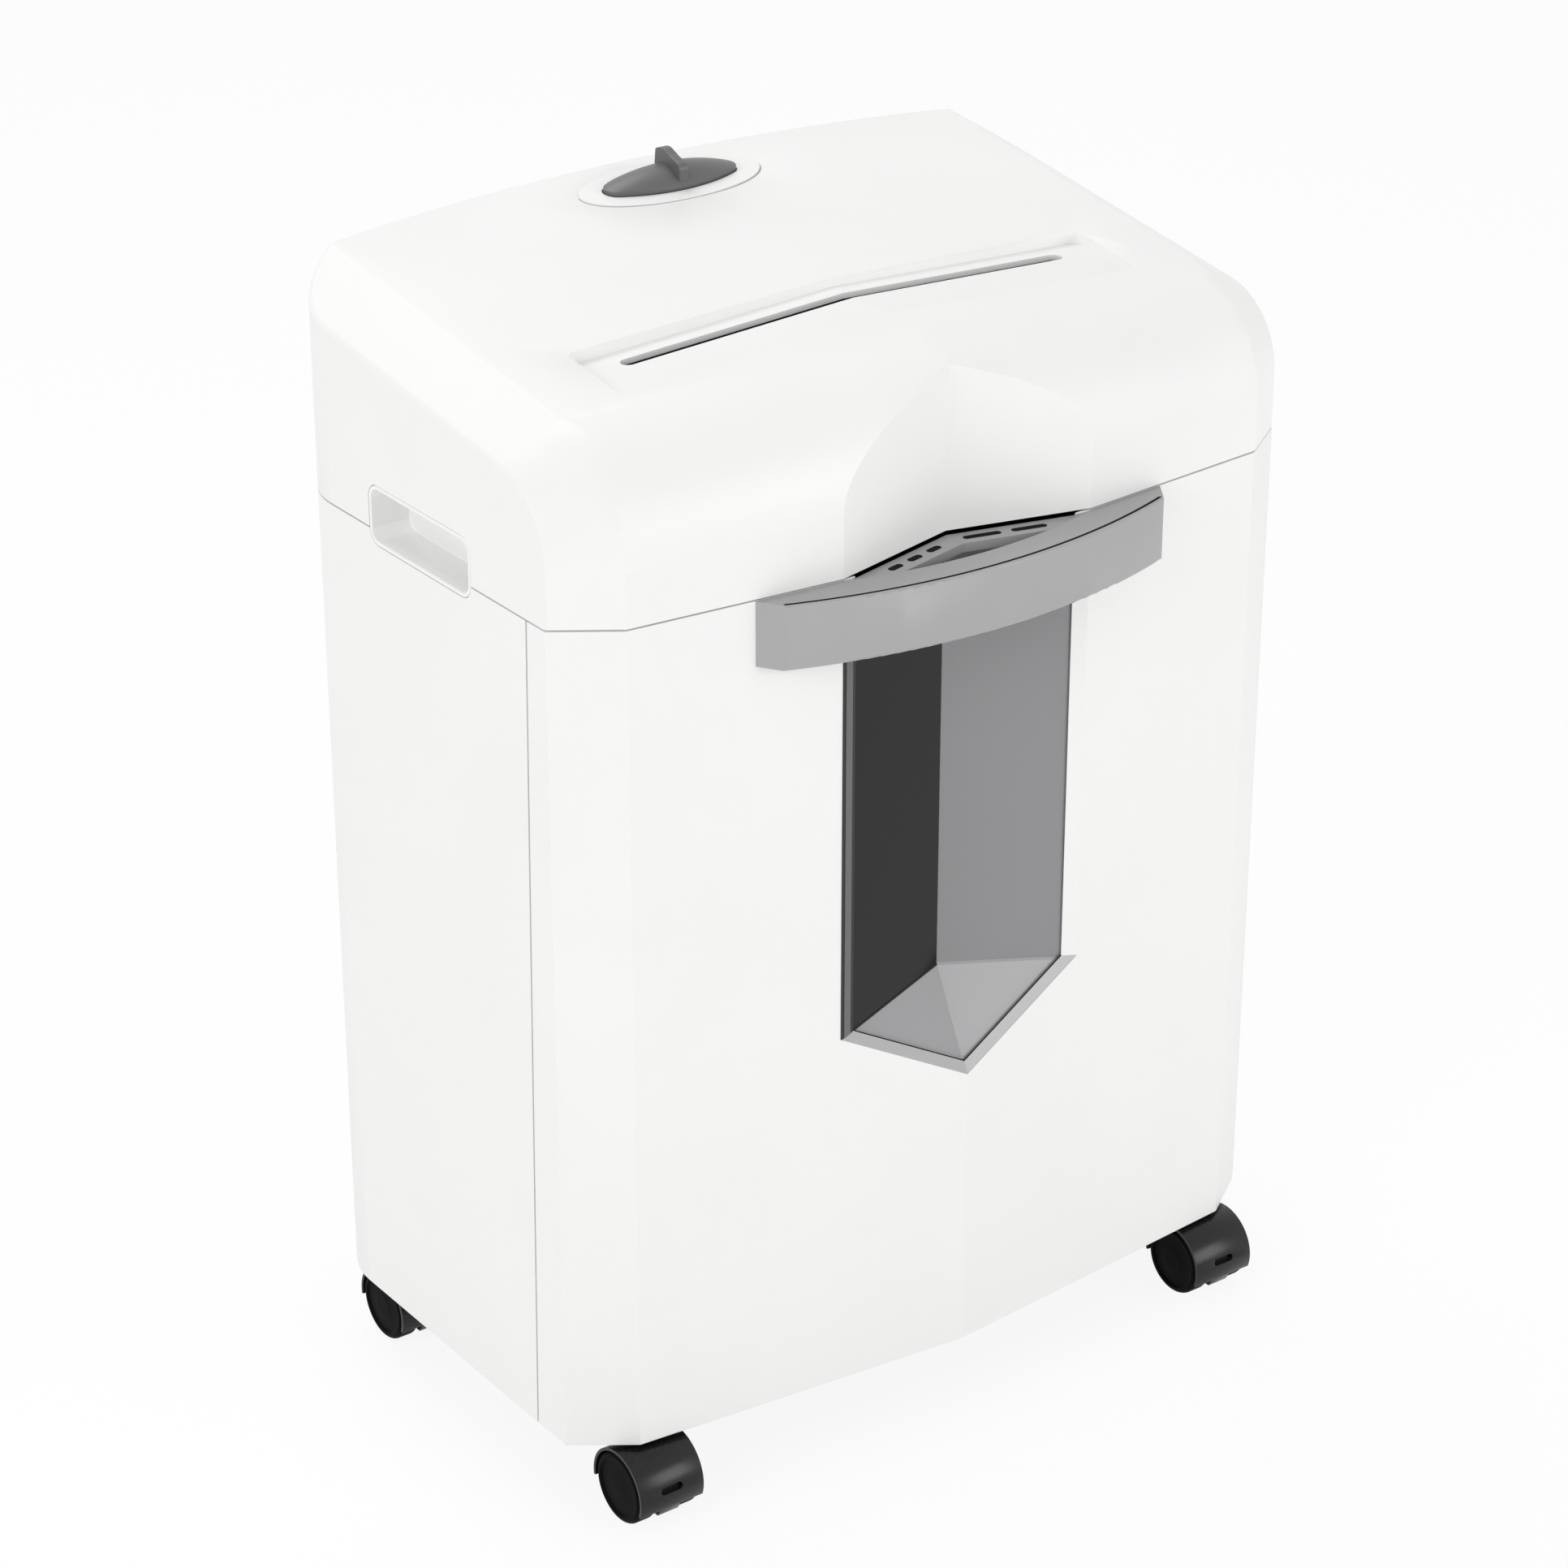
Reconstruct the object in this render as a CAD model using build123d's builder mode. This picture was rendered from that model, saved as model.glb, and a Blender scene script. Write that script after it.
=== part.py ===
from build123d import *
import os
from math import acos, atan2, cos, degrees, hypot, pi, radians, sin, sqrt, tan

os.makedirs("parts", exist_ok=True)

# Case outline. Origin on the floor under the middle of the overall box, front towards -Y.
CASE_WIDTH = 375.0
CASE_DEPTH = 233.5
HANDLE_REACH = 33.5
RIDGE_OUT = 15.0
CORNER_X = 26.0
CORNER_Y = 18.0
REAR_BOW = 21.0
REAR_CORNER_R = 40.0
SKIRT_Z = 37.0
SEAM_Z = 415.0
SEAM_GAP = 0.8
WALL = 2.5
PANEL_WALL = 2.5
RIM_DEPTH = 8.0
RIM_WIDTH = 9.0

# Head above the seam.
NOSE_R = 50.0
DECK_Z = 497.0
DECK_SLOPE = 0.14
RIDGE_UP = 6.5
BEVEL_DROP = 15.5
REAR_EDGE_R = 3.0
NOTCH_HALF = 63.6
NOTCH_DEPTH = 15.9
HEAD_BASE_THICK = 3.0
HEAD_BOSS_R = 4.5
FRONT_BOSS_INSET = (37.5, 25.0)
REAR_BOSS_INSET = (15.5, 51.5)
OUTLET_SIDE = 8.0
OUTLET_SPARE = 4.0

# Feed tray and slot.
SLOT_LENGTH = 225.0
SLOT_WIDTH = 7.0
SLOT_Y = -26.0
TRAY_HALF = 131.0
TRAY_BACK = 12.5
TRAY_CREST_Z = 497.4
TRAY_FALL = 0.05
TRAY_CORNER_R = 5.0
THROAT_WALL = 2.0
THROAT_CLEAR = 1.5
SENSOR = (9.0, 5.0, 9.0)
SENSOR_Z = 478.0

# Lifting recesses in the two sides.
GRIP_Y = 10.3
GRIP_LENGTH = 77.8
GRIP_HEIGHT = 27.0
GRIP_BELOW_SEAM = 6.7
GRIP_CORNER_R = 7.0
GRIP_CLEAR = 4.6
GRIP_WALL = 1.8

# Bin, window and handle.
RAKE_TOP_BACK = 31.5
RAKE_BOTTOM_BACK = 40.0
WINDOW_SIDE_Z = 206.0
WINDOW_APEX_Z = 171.0
WINDOW_VALLEY_Z = 215.7
WINDOW_STEP = 1.0
WINDOW_WALL = 2.2
WINDOW_FLANGE = 4.2
WINDOW_FLANGE_THICK = 2.0
BAR_HEIGHT = 28.0
BAR_HALF = 96.7
BAR_END_OUT = 16.6
BAR_FOOT_HALF = 104.0
BAR_BACK_OUT = 18.6
STRIP_WIDTH = 11.0
STRIP_THICK = 4.0
STRIP_SINK = 1.0
BAR_EDGE_R = 1.2
BAR_GROOVE_SET = 1.6
BAR_GROOVE = 0.8
SLOT_CUT = 2.6
STRIP_SLOTS = ((12.0, 17.0), (32.5, 16.0), (-13.0, 8.0), (-25.0, 8.0), (-37.0, 8.0))
TUB_FLOOR_Z = 56.0
TUB_TOP_Z = 393.0
TUB_WALL = 2.2
TUB_GAP = 8.0
TUB_FRONT_BACK = 20.0
TUB_RIM = 4.0
TUB_RIM_THICK = 2.5
TUB_VIEW_HALF = 68.0
TUB_VIEW_LOW = 150.0
TUB_VIEW_TOP = 376.0
TUB_BOSS_R = 5.0
TUB_BOSS_X = 100.0
TUB_BOSS_LEVELS = (110.0, 350.0)

# Base and casters.
BASE_THICK = 3.0
FLANGE_WIDTH = 9.0
BOSS_R = 7.0
BOSS_HEIGHT = 11.0
RAIL_X = 120.0
RAIL_WIDTH = 8.0
RAIL_SETBACK = 6.0
RAIL_REAR_INSET = 28.5
BASE_EDGE = 1.5
SOCKET_R = 5.2
FRONT_CASTER_INSET = (32.5, 16.0)
REAR_CASTER_INSET = (25.5, 35.5)
CASTER_TRAIL = 12.0
WHEEL_R = 16.5
WHEEL_WIDTH = 10.4
WHEEL_BORE_R = 2.55
AXLE_R = 2.5
STEM_R = 3.5
WEB_HALF = 5.2
HOOD_GAP = 0.5
HOOD_WALL = 1.3
HOOD_FROM = -8.0
HOOD_TO = 199.0
HOOD_SLOT = (11.0, 3.4)
HOOD_SLOT_UP = 3.5
HOOD_SLOT_DEPTH = 2.4
WEB_LOW = 6.0
STEM_LOW = 14.0
STEM_SINK = 1.0
COLLAR_GAP = 0.5
WHEEL_SHOULDER_R = 2.4
WHEEL_RIM = 3.0
WHEEL_DISH = 0.9
WHEEL_SKIN = 2.4
WHEEL_CAP_R = 5.0
WHEEL_CAP_SINK = 0.2

# Cutting block.
CUTTER_GAP = 36.0
CUTTER_Z = 449.0
CUTTER_R = 19.5
CUTTER_HUB_R = 15.0
CUTTER_PITCH = 10.0
CUTTER_THICK = 4.8
CUTTER_COUNT = 22
CUTTER_HOOKS = 6
HOOK_DEPTH = 2.2
SHAFT_HEX = 16.0
JOURNAL_R = 6.0
BUSH_R = 8.5
BUSH_FLANGE_R = 11.0
BUSH_FLANGE = 1.5
PLATE_X = 118.0
PLATE_THICK = 3.0
PLATE_TOP_Z = 480.0
PLATE_FRONT_Y = -80.0
LEFT_PLATE_REAR_Y = 26.0
RIGHT_PLATE_REAR_Y = 96.0
ROD_R = 4.0
ROD_PLACES = ((-73.0, 428.0), (-70.0, 464.0), (20.0, 427.0))
COMB_BAR = 6.0
COMB_HEIGHT = 16.0
COMB_FINGER = 4.0
COMB_CLEAR = 0.6
PLATE_NOSE = 14.0
NUT_R = 7.0
SHAFT_TAIL = 5.0
SHAFT_PLAY = 0.5
SHAFT_PROUD = 1.0
DISC_GAP = 0.1
HOOK_SWEEP = 24.0

# Gear train on the right of the cutting block.
SYNC_TEETH = 24
DRIVE_TEETH = 36
LAY_PINION_TEETH = 14
LAY_WHEEL_TEETH = 60
MOTOR_PINION_TEETH = 12
DRIVE_MODULE = 1.5
MOTOR_MODULE = 1.0
PRESSURE_ANGLE = 25.0
ADDENDUM = 0.75
DEDENDUM = 1.05
BACKLASH = 0.24
SYNC_FACE = 10.0
DRIVE_FACE = 10.0
WHEEL_FACE = 8.0
GEAR_SPACE = 3.0
LAY_PIN_R = 4.0
GEAR_COVER_WALL = 1.6
GEAR_CLEAR = 1.0
RIM_BAND = 5.0
DRIVE_WEB = 4.0
DRIVE_HUB_R = 11.0
LAY_WEB = 3.0
LAY_HUB_R = 8.0
PIN_COLLAR_R = 6.0
PIN_HEAD = 2.0

# Motor.
MOTOR_Y = 64.5
MOTOR_Z = 454.0
STATOR_X = 55.0
STATOR_LENGTH = 40.0
STATOR_HALF_Y = 29.0
STATOR_HALF_Z = 27.0
ROTOR_R = 18.0
AIR_GAP = 0.6
MOTOR_SHAFT_R = 2.5
BRACKET_X = 22.0
BRACKET_THICK = 4.0
BRACKET_HALF_Z = 8.0
POST = 8.0
POST_OUT = 25.0
MOTOR_HOLE_R = 5.0
MOTOR_SHAFT_STUB = 3.0
STATOR_CORNER_R = 8.0
ROTOR_INSET = 1.0
COIL_LENGTH = 8.0
COIL_IN = 20.5
COIL_OUT = 26.0
COIL_HALF_ANGLE = 50.0
COMMUTATOR_R = 9.0
COMMUTATOR = (32.0, 44.0)
END_TURN_R = 15.0
END_TURN = 6.0
FAN_R = 19.0
FAN_X = 104.5
FAN_WIDTH = 5.0
FAN_BLADES = 8
FAN_BLADE = 1.6
FAN_HUB_R = 7.0

# Switch.
SWITCH_Y = 103.0
SEAT_HALF_X = 45.5
SEAT_HALF_Y = 20.0
SEAT_THICK = 4.6
SEAT_PROUD = 0.4
ROCKER_HALF_X = 33.5
ROCKER_HALF_Y = 11.5
ROCKER_RISE = 8.0
ROCKER_SKIRT = 3.2
ROCKER_END_HALF = 5.5
ROCKER_END_LENGTH = 4.0
ROCKER_PIN_R = 1.2
ROCKER_PIN_DROP = 2.2
FIN_HEIGHT = 5.8
FIN_THICK = 4.4
FIN_SHAPE = ((0.95, 0.88), (0.55, 1.0), (0.1, 0.95), (-0.72, 0.62))
ROCKER_TIP = 2.2
ROCKER_GAP = 0.6
SEAT_FLANGE = 3.0
SEAT_FLANGE_THICK = 1.6
COLLAR_DROP = 9.0
COLLAR_WALL = 2.0
PEG_R = 2.0
PEG_DROP = 11.5
BLOCK_HALF_X = 17.0
BLOCK_HALF_Y = 13.0
BLOCK_TALL = 12.0
BLOCK_SLOT = (12.0, 5.0)
BLOCK_SLOT_DEPTH = 4.0

# Control board.
BOARD_LOW = (-150.0, 34.0)
BOARD_HIGH = (-60.0, 106.0)
BOARD_Z = 430.0
BOARD_THICK = 1.6
BOARD_POST_R = 3.0
BOARD_POST_INSET = 6.0
BOARD_BLOCKS = (
    ((-138.0, 44.0), (19.0, 16.0, 16.0)),
    ((-112.0, 46.0), (30.0, 26.0, 24.0)),
    ((-108.0, 84.0), (22.0, 8.0, 8.0)),
)
CAPACITOR_PLACE = (-128.0, 78.0)
CAPACITOR_R = 7.0
CAPACITOR_TALL = 18.0

# Bin interlock.
INTERLOCK_X = 124.0
INTERLOCK_HALF = 8.0
INTERLOCK_FRONT_Y = -90.0
INTERLOCK_REAR_Y = -64.0
INTERLOCK_TALL = 13.0
PLUNGER_R = 3.0
PLUNGER_TRAVEL = 3.0
PLUNGER_TAIL = 12.0

# Cord gland.
GLAND_X = -138.0
GLAND_Z = 445.0
GLAND_R = 6.0
GLAND_BORE_R = 3.6
GLAND_FLANGE_R = 8.5
GLAND_FLANGE = 2.0
GLAND_SLEEVE = 9.0
GLAND_WELL_R = 4.6
GLAND_TAIL = 4.0

# Screws.
SCREW_R = 1.5
SCREW_HEAD_R = 3.2
SCREW_HEAD = 2.0
SCREW_LENGTH = 14.0

# Fits, and how far a cut runs past what it cuts.
RUN_FIT = 0.05
CASE_FIT = 0.3
SLIDE_FIT = 0.8
MARGIN = 20.0

# Places that follow from the sizes above.
HALF = CASE_WIDTH / 2
REAR_Y = (CASE_DEPTH + HANDLE_REACH) / 2
FRONT_Y = REAR_Y - CASE_DEPTH
HANDLE_Y = -REAR_Y
BAR_END_Y = FRONT_Y - BAR_END_OUT
BAR_BACK_Y = FRONT_Y - BAR_BACK_OUT
RAKE_TOP_Y = FRONT_Y + RAKE_TOP_BACK
RAKE_BOTTOM_Y = FRONT_Y + RAKE_BOTTOM_BACK
TUB_FRONT_Y = FRONT_Y + TUB_FRONT_BACK
RAIL_REAR_Y = REAR_Y - RAIL_REAR_INSET
FRONT_CASTER = (HALF - FRONT_CASTER_INSET[0], FRONT_Y + FRONT_CASTER_INSET[1])
REAR_CASTER = (HALF - REAR_CASTER_INSET[0], REAR_Y - REAR_CASTER_INSET[1])
FRONT_BOSS = (HALF - FRONT_BOSS_INSET[0], FRONT_Y + FRONT_BOSS_INSET[1])
REAR_BOSS = (HALF - REAR_BOSS_INSET[0], REAR_Y - REAR_BOSS_INSET[1])
HEAD_BOSSES = [(side * x, y) for x, y in (FRONT_BOSS, REAR_BOSS) for side in (-1, 1)]
SHOULDER = HALF - CORNER_X
CASE_TOP_Z = SEAM_Z - SEAM_GAP / 2
HEAD_Z = SEAM_Z + SEAM_GAP / 2
FRONT_SLOPE = RIDGE_OUT / SHOULDER
NOTCH_SLOPE = NOTCH_DEPTH / NOTCH_HALF

# Stack of gears outside the right plate, and the room that it leaves for the lifting cups.
PLATE_OUT = PLATE_X + PLATE_THICK
SYNC_X = PLATE_OUT + GEAR_SPACE
DRIVE_X = SYNC_X + SYNC_FACE + GEAR_SPACE
LAY_X = DRIVE_X + DRIVE_FACE + GEAR_SPACE
TRAIN_END = LAY_X + WHEEL_FACE
COVER_END = TRAIN_END + CASE_FIT + PIN_HEAD + GEAR_CLEAR
GRIP_DEPTH = HALF - COVER_END - GEAR_COVER_WALL - GRIP_CLEAR


def front_y(x):
    """Front face of the case at a place across it."""
    return FRONT_Y - RIDGE_OUT + FRONT_SLOPE * abs(x)


NOTCH_Y = front_y(NOTCH_HALF) + NOTCH_DEPTH
NOSE_Y = FRONT_Y + NOSE_R - NOSE_R * sin(atan2(DECK_SLOPE, 1))
CREST_Y = NOSE_Y - RIDGE_OUT
CREST_Z = DECK_Z + DECK_SLOPE * NOSE_Y + RIDGE_UP
REAR_DECK_Z = DECK_Z + DECK_SLOPE * REAR_Y
CREST_SLOPE = (REAR_DECK_Z - CREST_Z) / (REAR_Y - CREST_Y)


def case_plan(inset, plane):
    """Outline of the case seen from above, moved in by an inset."""
    with BuildSketch(plane) as plan:
        with BuildLine():
            Polyline(
                (HALF, REAR_Y - REAR_BOW),
                (HALF, FRONT_Y + CORNER_Y),
                (SHOULDER, FRONT_Y),
                (0, FRONT_Y - RIDGE_OUT),
                (-SHOULDER, FRONT_Y),
                (-HALF, FRONT_Y + CORNER_Y),
                (-HALF, REAR_Y - REAR_BOW),
            )
            ThreePointArc((-HALF, REAR_Y - REAR_BOW), (0, REAR_Y), (HALF, REAR_Y - REAR_BOW))
        make_face()
        fillet(plan.vertices().group_by(Axis.Y)[-1], REAR_CORNER_R)
        if inset > 0:
            offset(amount=-inset, kind=Kind.INTERSECTION)
    return plan.sketch


def plan_ring(outer, inner, low, high):
    """Upright ring between two insets of the case outline."""
    with BuildPart() as ring:
        extrude(case_plan(outer, Plane.XY.offset(low)), amount=high - low)
        extrude(case_plan(inner, Plane.XY.offset(low)), amount=high - low, mode=Mode.SUBTRACT)
    return ring.part


def rake_plane(shift):
    """Raked joint between the bin front and the cabinet, facing the rear."""
    run = RAKE_BOTTOM_Y - RAKE_TOP_Y
    rise = SEAM_Z - SKIRT_Z
    return Plane(
        origin=(0, RAKE_TOP_Y + shift, SEAM_Z),
        x_dir=(1, 0, 0),
        z_dir=(0, rise, run),
    )


def head_section(x, nose_y, deck_y, deck_z, slope, radius):
    """Side view of the head at one place across it, with its rounded nose."""
    low = SEAM_Z - MARGIN
    back = REAR_Y + MARGIN
    corner_z = deck_z + slope * (nose_y - deck_y)
    deck_angle = atan2(slope, 1)
    reach = radius * tan((pi / 2 - deck_angle) / 2)
    front_end = (nose_y, corner_z - reach)
    deck_start = (nose_y + reach * cos(deck_angle), corner_z + reach * sin(deck_angle))
    away = (pi + deck_angle) / 2 + pi / 4
    centre = (nose_y + radius, corner_z - reach)
    nose = (centre[0] + radius * cos(away), centre[1] + radius * sin(away))
    with BuildSketch(Plane.YZ.offset(x)) as section:
        with BuildLine():
            ThreePointArc(front_end, nose, deck_start)
            Polyline(
                deck_start,
                (back, deck_z + slope * (back - deck_y)),
                (back, low),
                (nose_y, low),
                front_end,
            )
        make_face()
    return section.sketch


def notch_plan(grow, plane):
    """V-shaped notch down the front, deepened by a wall."""
    reach = 2 * NOTCH_HALF
    apex = NOTCH_Y + grow * hypot(1, NOTCH_SLOPE)
    with BuildSketch(plane) as plan:
        with BuildLine():
            Polyline(
                (0, apex),
                (reach, apex - NOTCH_SLOPE * reach),
                (reach, HANDLE_Y - MARGIN),
                (-reach, HANDLE_Y - MARGIN),
                (-reach, apex - NOTCH_SLOPE * reach),
                close=True,
            )
        make_face()
    return plan.sketch


def tray_part(grow):
    """Feed tray hollow: level from front to back, with a ridge down its middle."""
    half = TRAY_HALF + grow
    edge_z = TRAY_CREST_Z - grow - TRAY_FALL * half
    back = SLOT_Y + TRAY_BACK + grow
    with BuildPart() as tray:
        with BuildSketch(Plane(origin=(0, back, 0), x_dir=(1, 0, 0), z_dir=(0, -1, 0))):
            with BuildLine():
                Polyline(
                    (-half, edge_z),
                    (0, TRAY_CREST_Z - grow),
                    (half, edge_z),
                    (half, edge_z + 2 * MARGIN),
                    (-half, edge_z + 2 * MARGIN),
                    close=True,
                )
            make_face()
        extrude(amount=back - FRONT_Y)
        fillet(tray.edges().filter_by(Axis.Z).group_by(Axis.Y)[-1], TRAY_CORNER_R + grow)
    return tray.part


def head_form(inset):
    """Outer skin of the head, or its hollow when moved in by the wall."""
    over = (CORNER_X + WALL) / CORNER_X
    with BuildPart() as form:
        crest = head_section(
            0, FRONT_Y - RIDGE_OUT + inset, CREST_Y, CREST_Z - inset, CREST_SLOPE, NOSE_R - inset
        )
        shoulder = head_section(
            inset - SHOULDER, FRONT_Y + inset, 0, DECK_Z - inset, DECK_SLOPE, NOSE_R - inset
        )
        flank = head_section(
            inset - SHOULDER - CORNER_X * over,
            FRONT_Y + inset + CORNER_Y * over,
            0,
            DECK_Z - inset - BEVEL_DROP * over,
            DECK_SLOPE,
            NOSE_R - inset - BEVEL_DROP * over,
        )
        loft([crest, shoulder, flank], ruled=True)
        mirror(about=Plane.YZ)
        base = HEAD_Z - inset
        with BuildSketch(Plane.XY.offset(base)) as trim:
            with BuildLine():
                Polyline(
                    (HALF, REAR_Y - REAR_BOW),
                    (HALF, HANDLE_Y - MARGIN),
                    (-HALF, HANDLE_Y - MARGIN),
                    (-HALF, REAR_Y - REAR_BOW),
                )
                ThreePointArc((-HALF, REAR_Y - REAR_BOW), (0, REAR_Y), (HALF, REAR_Y - REAR_BOW))
            make_face()
            fillet(trim.vertices().group_by(Axis.Y)[-1], REAR_CORNER_R)
            if inset > 0:
                offset(amount=-inset, kind=Kind.INTERSECTION)
        extrude(amount=REAR_DECK_Z - base + MARGIN, mode=Mode.INTERSECT)
        notch = notch_plan(inset, Plane.XY.offset(base - MARGIN))
        extrude(notch, amount=REAR_DECK_Z, mode=Mode.SUBTRACT)
    return form.part


def grip_hollow(side, shrink, outer_x, depth):
    """Rounded block of one lifting recess, running in from a side."""
    low = SEAM_Z - GRIP_BELOW_SEAM
    plane = Plane(
        origin=(side * outer_x, GRIP_Y, low + GRIP_HEIGHT / 2),
        x_dir=(0, 1, 0),
        z_dir=(-side, 0, 0),
    )
    with BuildPart() as block:
        with BuildSketch(plane):
            RectangleRounded(
                GRIP_LENGTH - 2 * shrink, GRIP_HEIGHT - 2 * shrink, GRIP_CORNER_R - shrink
            )
        extrude(amount=depth)
    return block.part


def facet_plane(side, drop):
    """Sloping floor facet of the window recess on one side, lowered by a drop."""
    valley = Vector(0, NOTCH_Y, WINDOW_VALLEY_Z)
    corner = Vector(side * NOTCH_HALF, front_y(NOTCH_HALF), WINDOW_SIDE_Z)
    apex = Vector(0, FRONT_Y - RIDGE_OUT, WINDOW_APEX_Z)
    normal = (corner - valley).cross(apex - valley).normalized()
    if normal.Z < 0:
        normal = normal * -1
    return Plane(origin=valley - normal * drop, x_dir=apex - valley, z_dir=normal)


def recess_part(grow, top):
    """V-shaped window recess with its two sloping floor facets, grown by a wall."""
    low = SKIRT_Z
    with BuildPart() as recess:
        extrude(notch_plan(grow, Plane.XY.offset(low)), amount=top - low)
        for side in (-1, 1):
            split(bisect_by=facet_plane(side, grow), keep=Keep.TOP)
    return recess.part


def panel_slab(near, far, top):
    """Upright V-shaped slab that follows the case front between two depths."""
    reach = 2 * NOTCH_HALF
    near *= hypot(1, FRONT_SLOPE)
    far *= hypot(1, FRONT_SLOPE)
    with BuildPart() as slab:
        with BuildSketch(Plane.XY.offset(SKIRT_Z)):
            with BuildLine():
                Polyline(
                    (0, front_y(0) + near),
                    (reach, front_y(reach) + near),
                    (reach, front_y(reach) + far),
                    (0, front_y(0) + far),
                    (-reach, front_y(reach) + far),
                    (-reach, front_y(reach) + near),
                    close=True,
                )
            make_face()
        extrude(amount=top - SKIRT_Z)
    return slab.part


def rod_x(y, z, radius, start, end):
    """Round bar along X."""
    with BuildPart() as rod:
        with BuildSketch(Plane.YZ.offset(start)):
            with Locations((y, z)):
                Circle(radius)
        extrude(amount=end - start)
    return rod.part


def rod_y(x, z, radius, start, end):
    """Round bar along Y."""
    with BuildPart() as rod:
        with BuildSketch(Plane(origin=(x, start, z), x_dir=(1, 0, 0), z_dir=(0, 1, 0))):
            Circle(radius)
        extrude(amount=end - start)
    return rod.part


def rod_z(x, y, radius, start, end):
    """Round bar along Z."""
    with BuildPart() as rod:
        with BuildSketch(Plane.XY.offset(start)):
            with Locations((x, y)):
                Circle(radius)
        extrude(amount=end - start)
    return rod.part


def block(low, high):
    """Plain block between two opposite corners."""
    size = Vector(*high) - Vector(*low)
    middle = (Vector(*high) + Vector(*low)) * 0.5
    with BuildPart() as box:
        with Locations(middle):
            Box(size.X, size.Y, size.Z)
    return box.part


# Screw bosses that tie the head cover to its base.
HEAD_BASE_TOP = HEAD_Z + HEAD_BASE_THICK

SEAT_Z = CREST_Z + CREST_SLOPE * (SWITCH_Y - CREST_Y)
SEAT_PLANE = Plane(origin=(0, SWITCH_Y, SEAT_Z), x_dir=(1, 0, 0), z_dir=(0, -CREST_SLOPE, 1))
REAR_RADIUS = (HALF**2 + REAR_BOW**2) / (2 * REAR_BOW)
GLAND_Y = REAR_Y - REAR_RADIUS + sqrt(REAR_RADIUS**2 - GLAND_X**2)
GLAND_PLANE = Plane(
    origin=(GLAND_X, GLAND_Y, GLAND_Z),
    x_dir=(0, 0, 1),
    z_dir=(GLAND_X, sqrt(REAR_RADIUS**2 - GLAND_X**2), 0),
)

# Head cover: a moulded shell with the front notch, the feed tray and the switch hole.
outer_form = head_form(0)
hollow = head_form(WALL) - tray_part(WALL)
bosses = [
    rod_z(x, y, HEAD_BOSS_R, HEAD_BASE_TOP, REAR_DECK_Z) & outer_form for x, y in HEAD_BOSSES
]
with BuildPart() as head_cover:
    add(outer_form)
    rear_rim = head_cover.edges().filter_by(
        lambda e: e.center().Y > REAR_Y - REAR_BOW - REAR_CORNER_R and e.center().Z > SEAM_Z + NOSE_R
    )
    fillet(rear_rim, REAR_EDGE_R)
    add(tray_part(0), mode=Mode.SUBTRACT)
    add(hollow, mode=Mode.SUBTRACT)
    add(bosses)
    for x, y in HEAD_BOSSES:
        add(rod_z(x, y, SCREW_R, HEAD_BASE_TOP, HEAD_BASE_TOP + SCREW_LENGTH), mode=Mode.SUBTRACT)
    with BuildSketch(Plane.XY.offset(CUTTER_Z)):
        with Locations((0, SLOT_Y)):
            SlotOverall(SLOT_LENGTH, SLOT_WIDTH)
    extrude(amount=TRAY_CREST_Z, mode=Mode.SUBTRACT)
    with BuildSketch(SEAT_PLANE):
        Ellipse(SEAT_HALF_X, SEAT_HALF_Y)
    extrude(amount=MARGIN, both=True, mode=Mode.SUBTRACT)
    for side in (-1, 1):
        add(grip_hollow(side, 0, HALF + WALL, GRIP_DEPTH), mode=Mode.SUBTRACT)
    with BuildSketch(GLAND_PLANE):
        Circle(GLAND_R)
    extrude(amount=MARGIN, both=True, mode=Mode.SUBTRACT)
head_cover.part.label = "head_cover"
export_step(head_cover.part, "parts/head_cover.step")

# Cabinet: side and rear walls, the rim that carries the head and the foot that carries the base.
with BuildPart() as cabinet:
    add(plan_ring(0, WALL, SKIRT_Z, CASE_TOP_Z))
    add(plan_ring(WALL / 2, WALL + RIM_WIDTH, SEAM_Z - RIM_DEPTH, CASE_TOP_Z))
    add(plan_ring(WALL + CASE_FIT, WALL + RIM_WIDTH, SEAM_Z - RIM_DEPTH, HEAD_Z))
    add(plan_ring(WALL / 2, WALL + FLANGE_WIDTH, SKIRT_Z, SKIRT_Z + BASE_THICK))
    split(bisect_by=rake_plane(SEAM_GAP / 2), keep=Keep.TOP)
    for side in (-1, 1):
        add(grip_hollow(side, 0, HALF + WALL, GRIP_DEPTH), mode=Mode.SUBTRACT)
cabinet.part.label = "cabinet"
export_step(cabinet.part, "parts/cabinet.step")

# Lifting recess cups, one in each side.
with BuildPart() as grip_cups:
    for side in (-1, 1):
        cup = grip_hollow(side, CASE_FIT, HALF, GRIP_DEPTH - CASE_FIT)
        pocket_depth = GRIP_DEPTH + WALL - CASE_FIT - GRIP_WALL
        pocket = grip_hollow(side, CASE_FIT + GRIP_WALL, HALF + WALL, pocket_depth)
        add(cup - pocket)
grip_cups.part.label = "grip_cups"
export_step(grip_cups.part, "parts/grip_cups.step")

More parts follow.
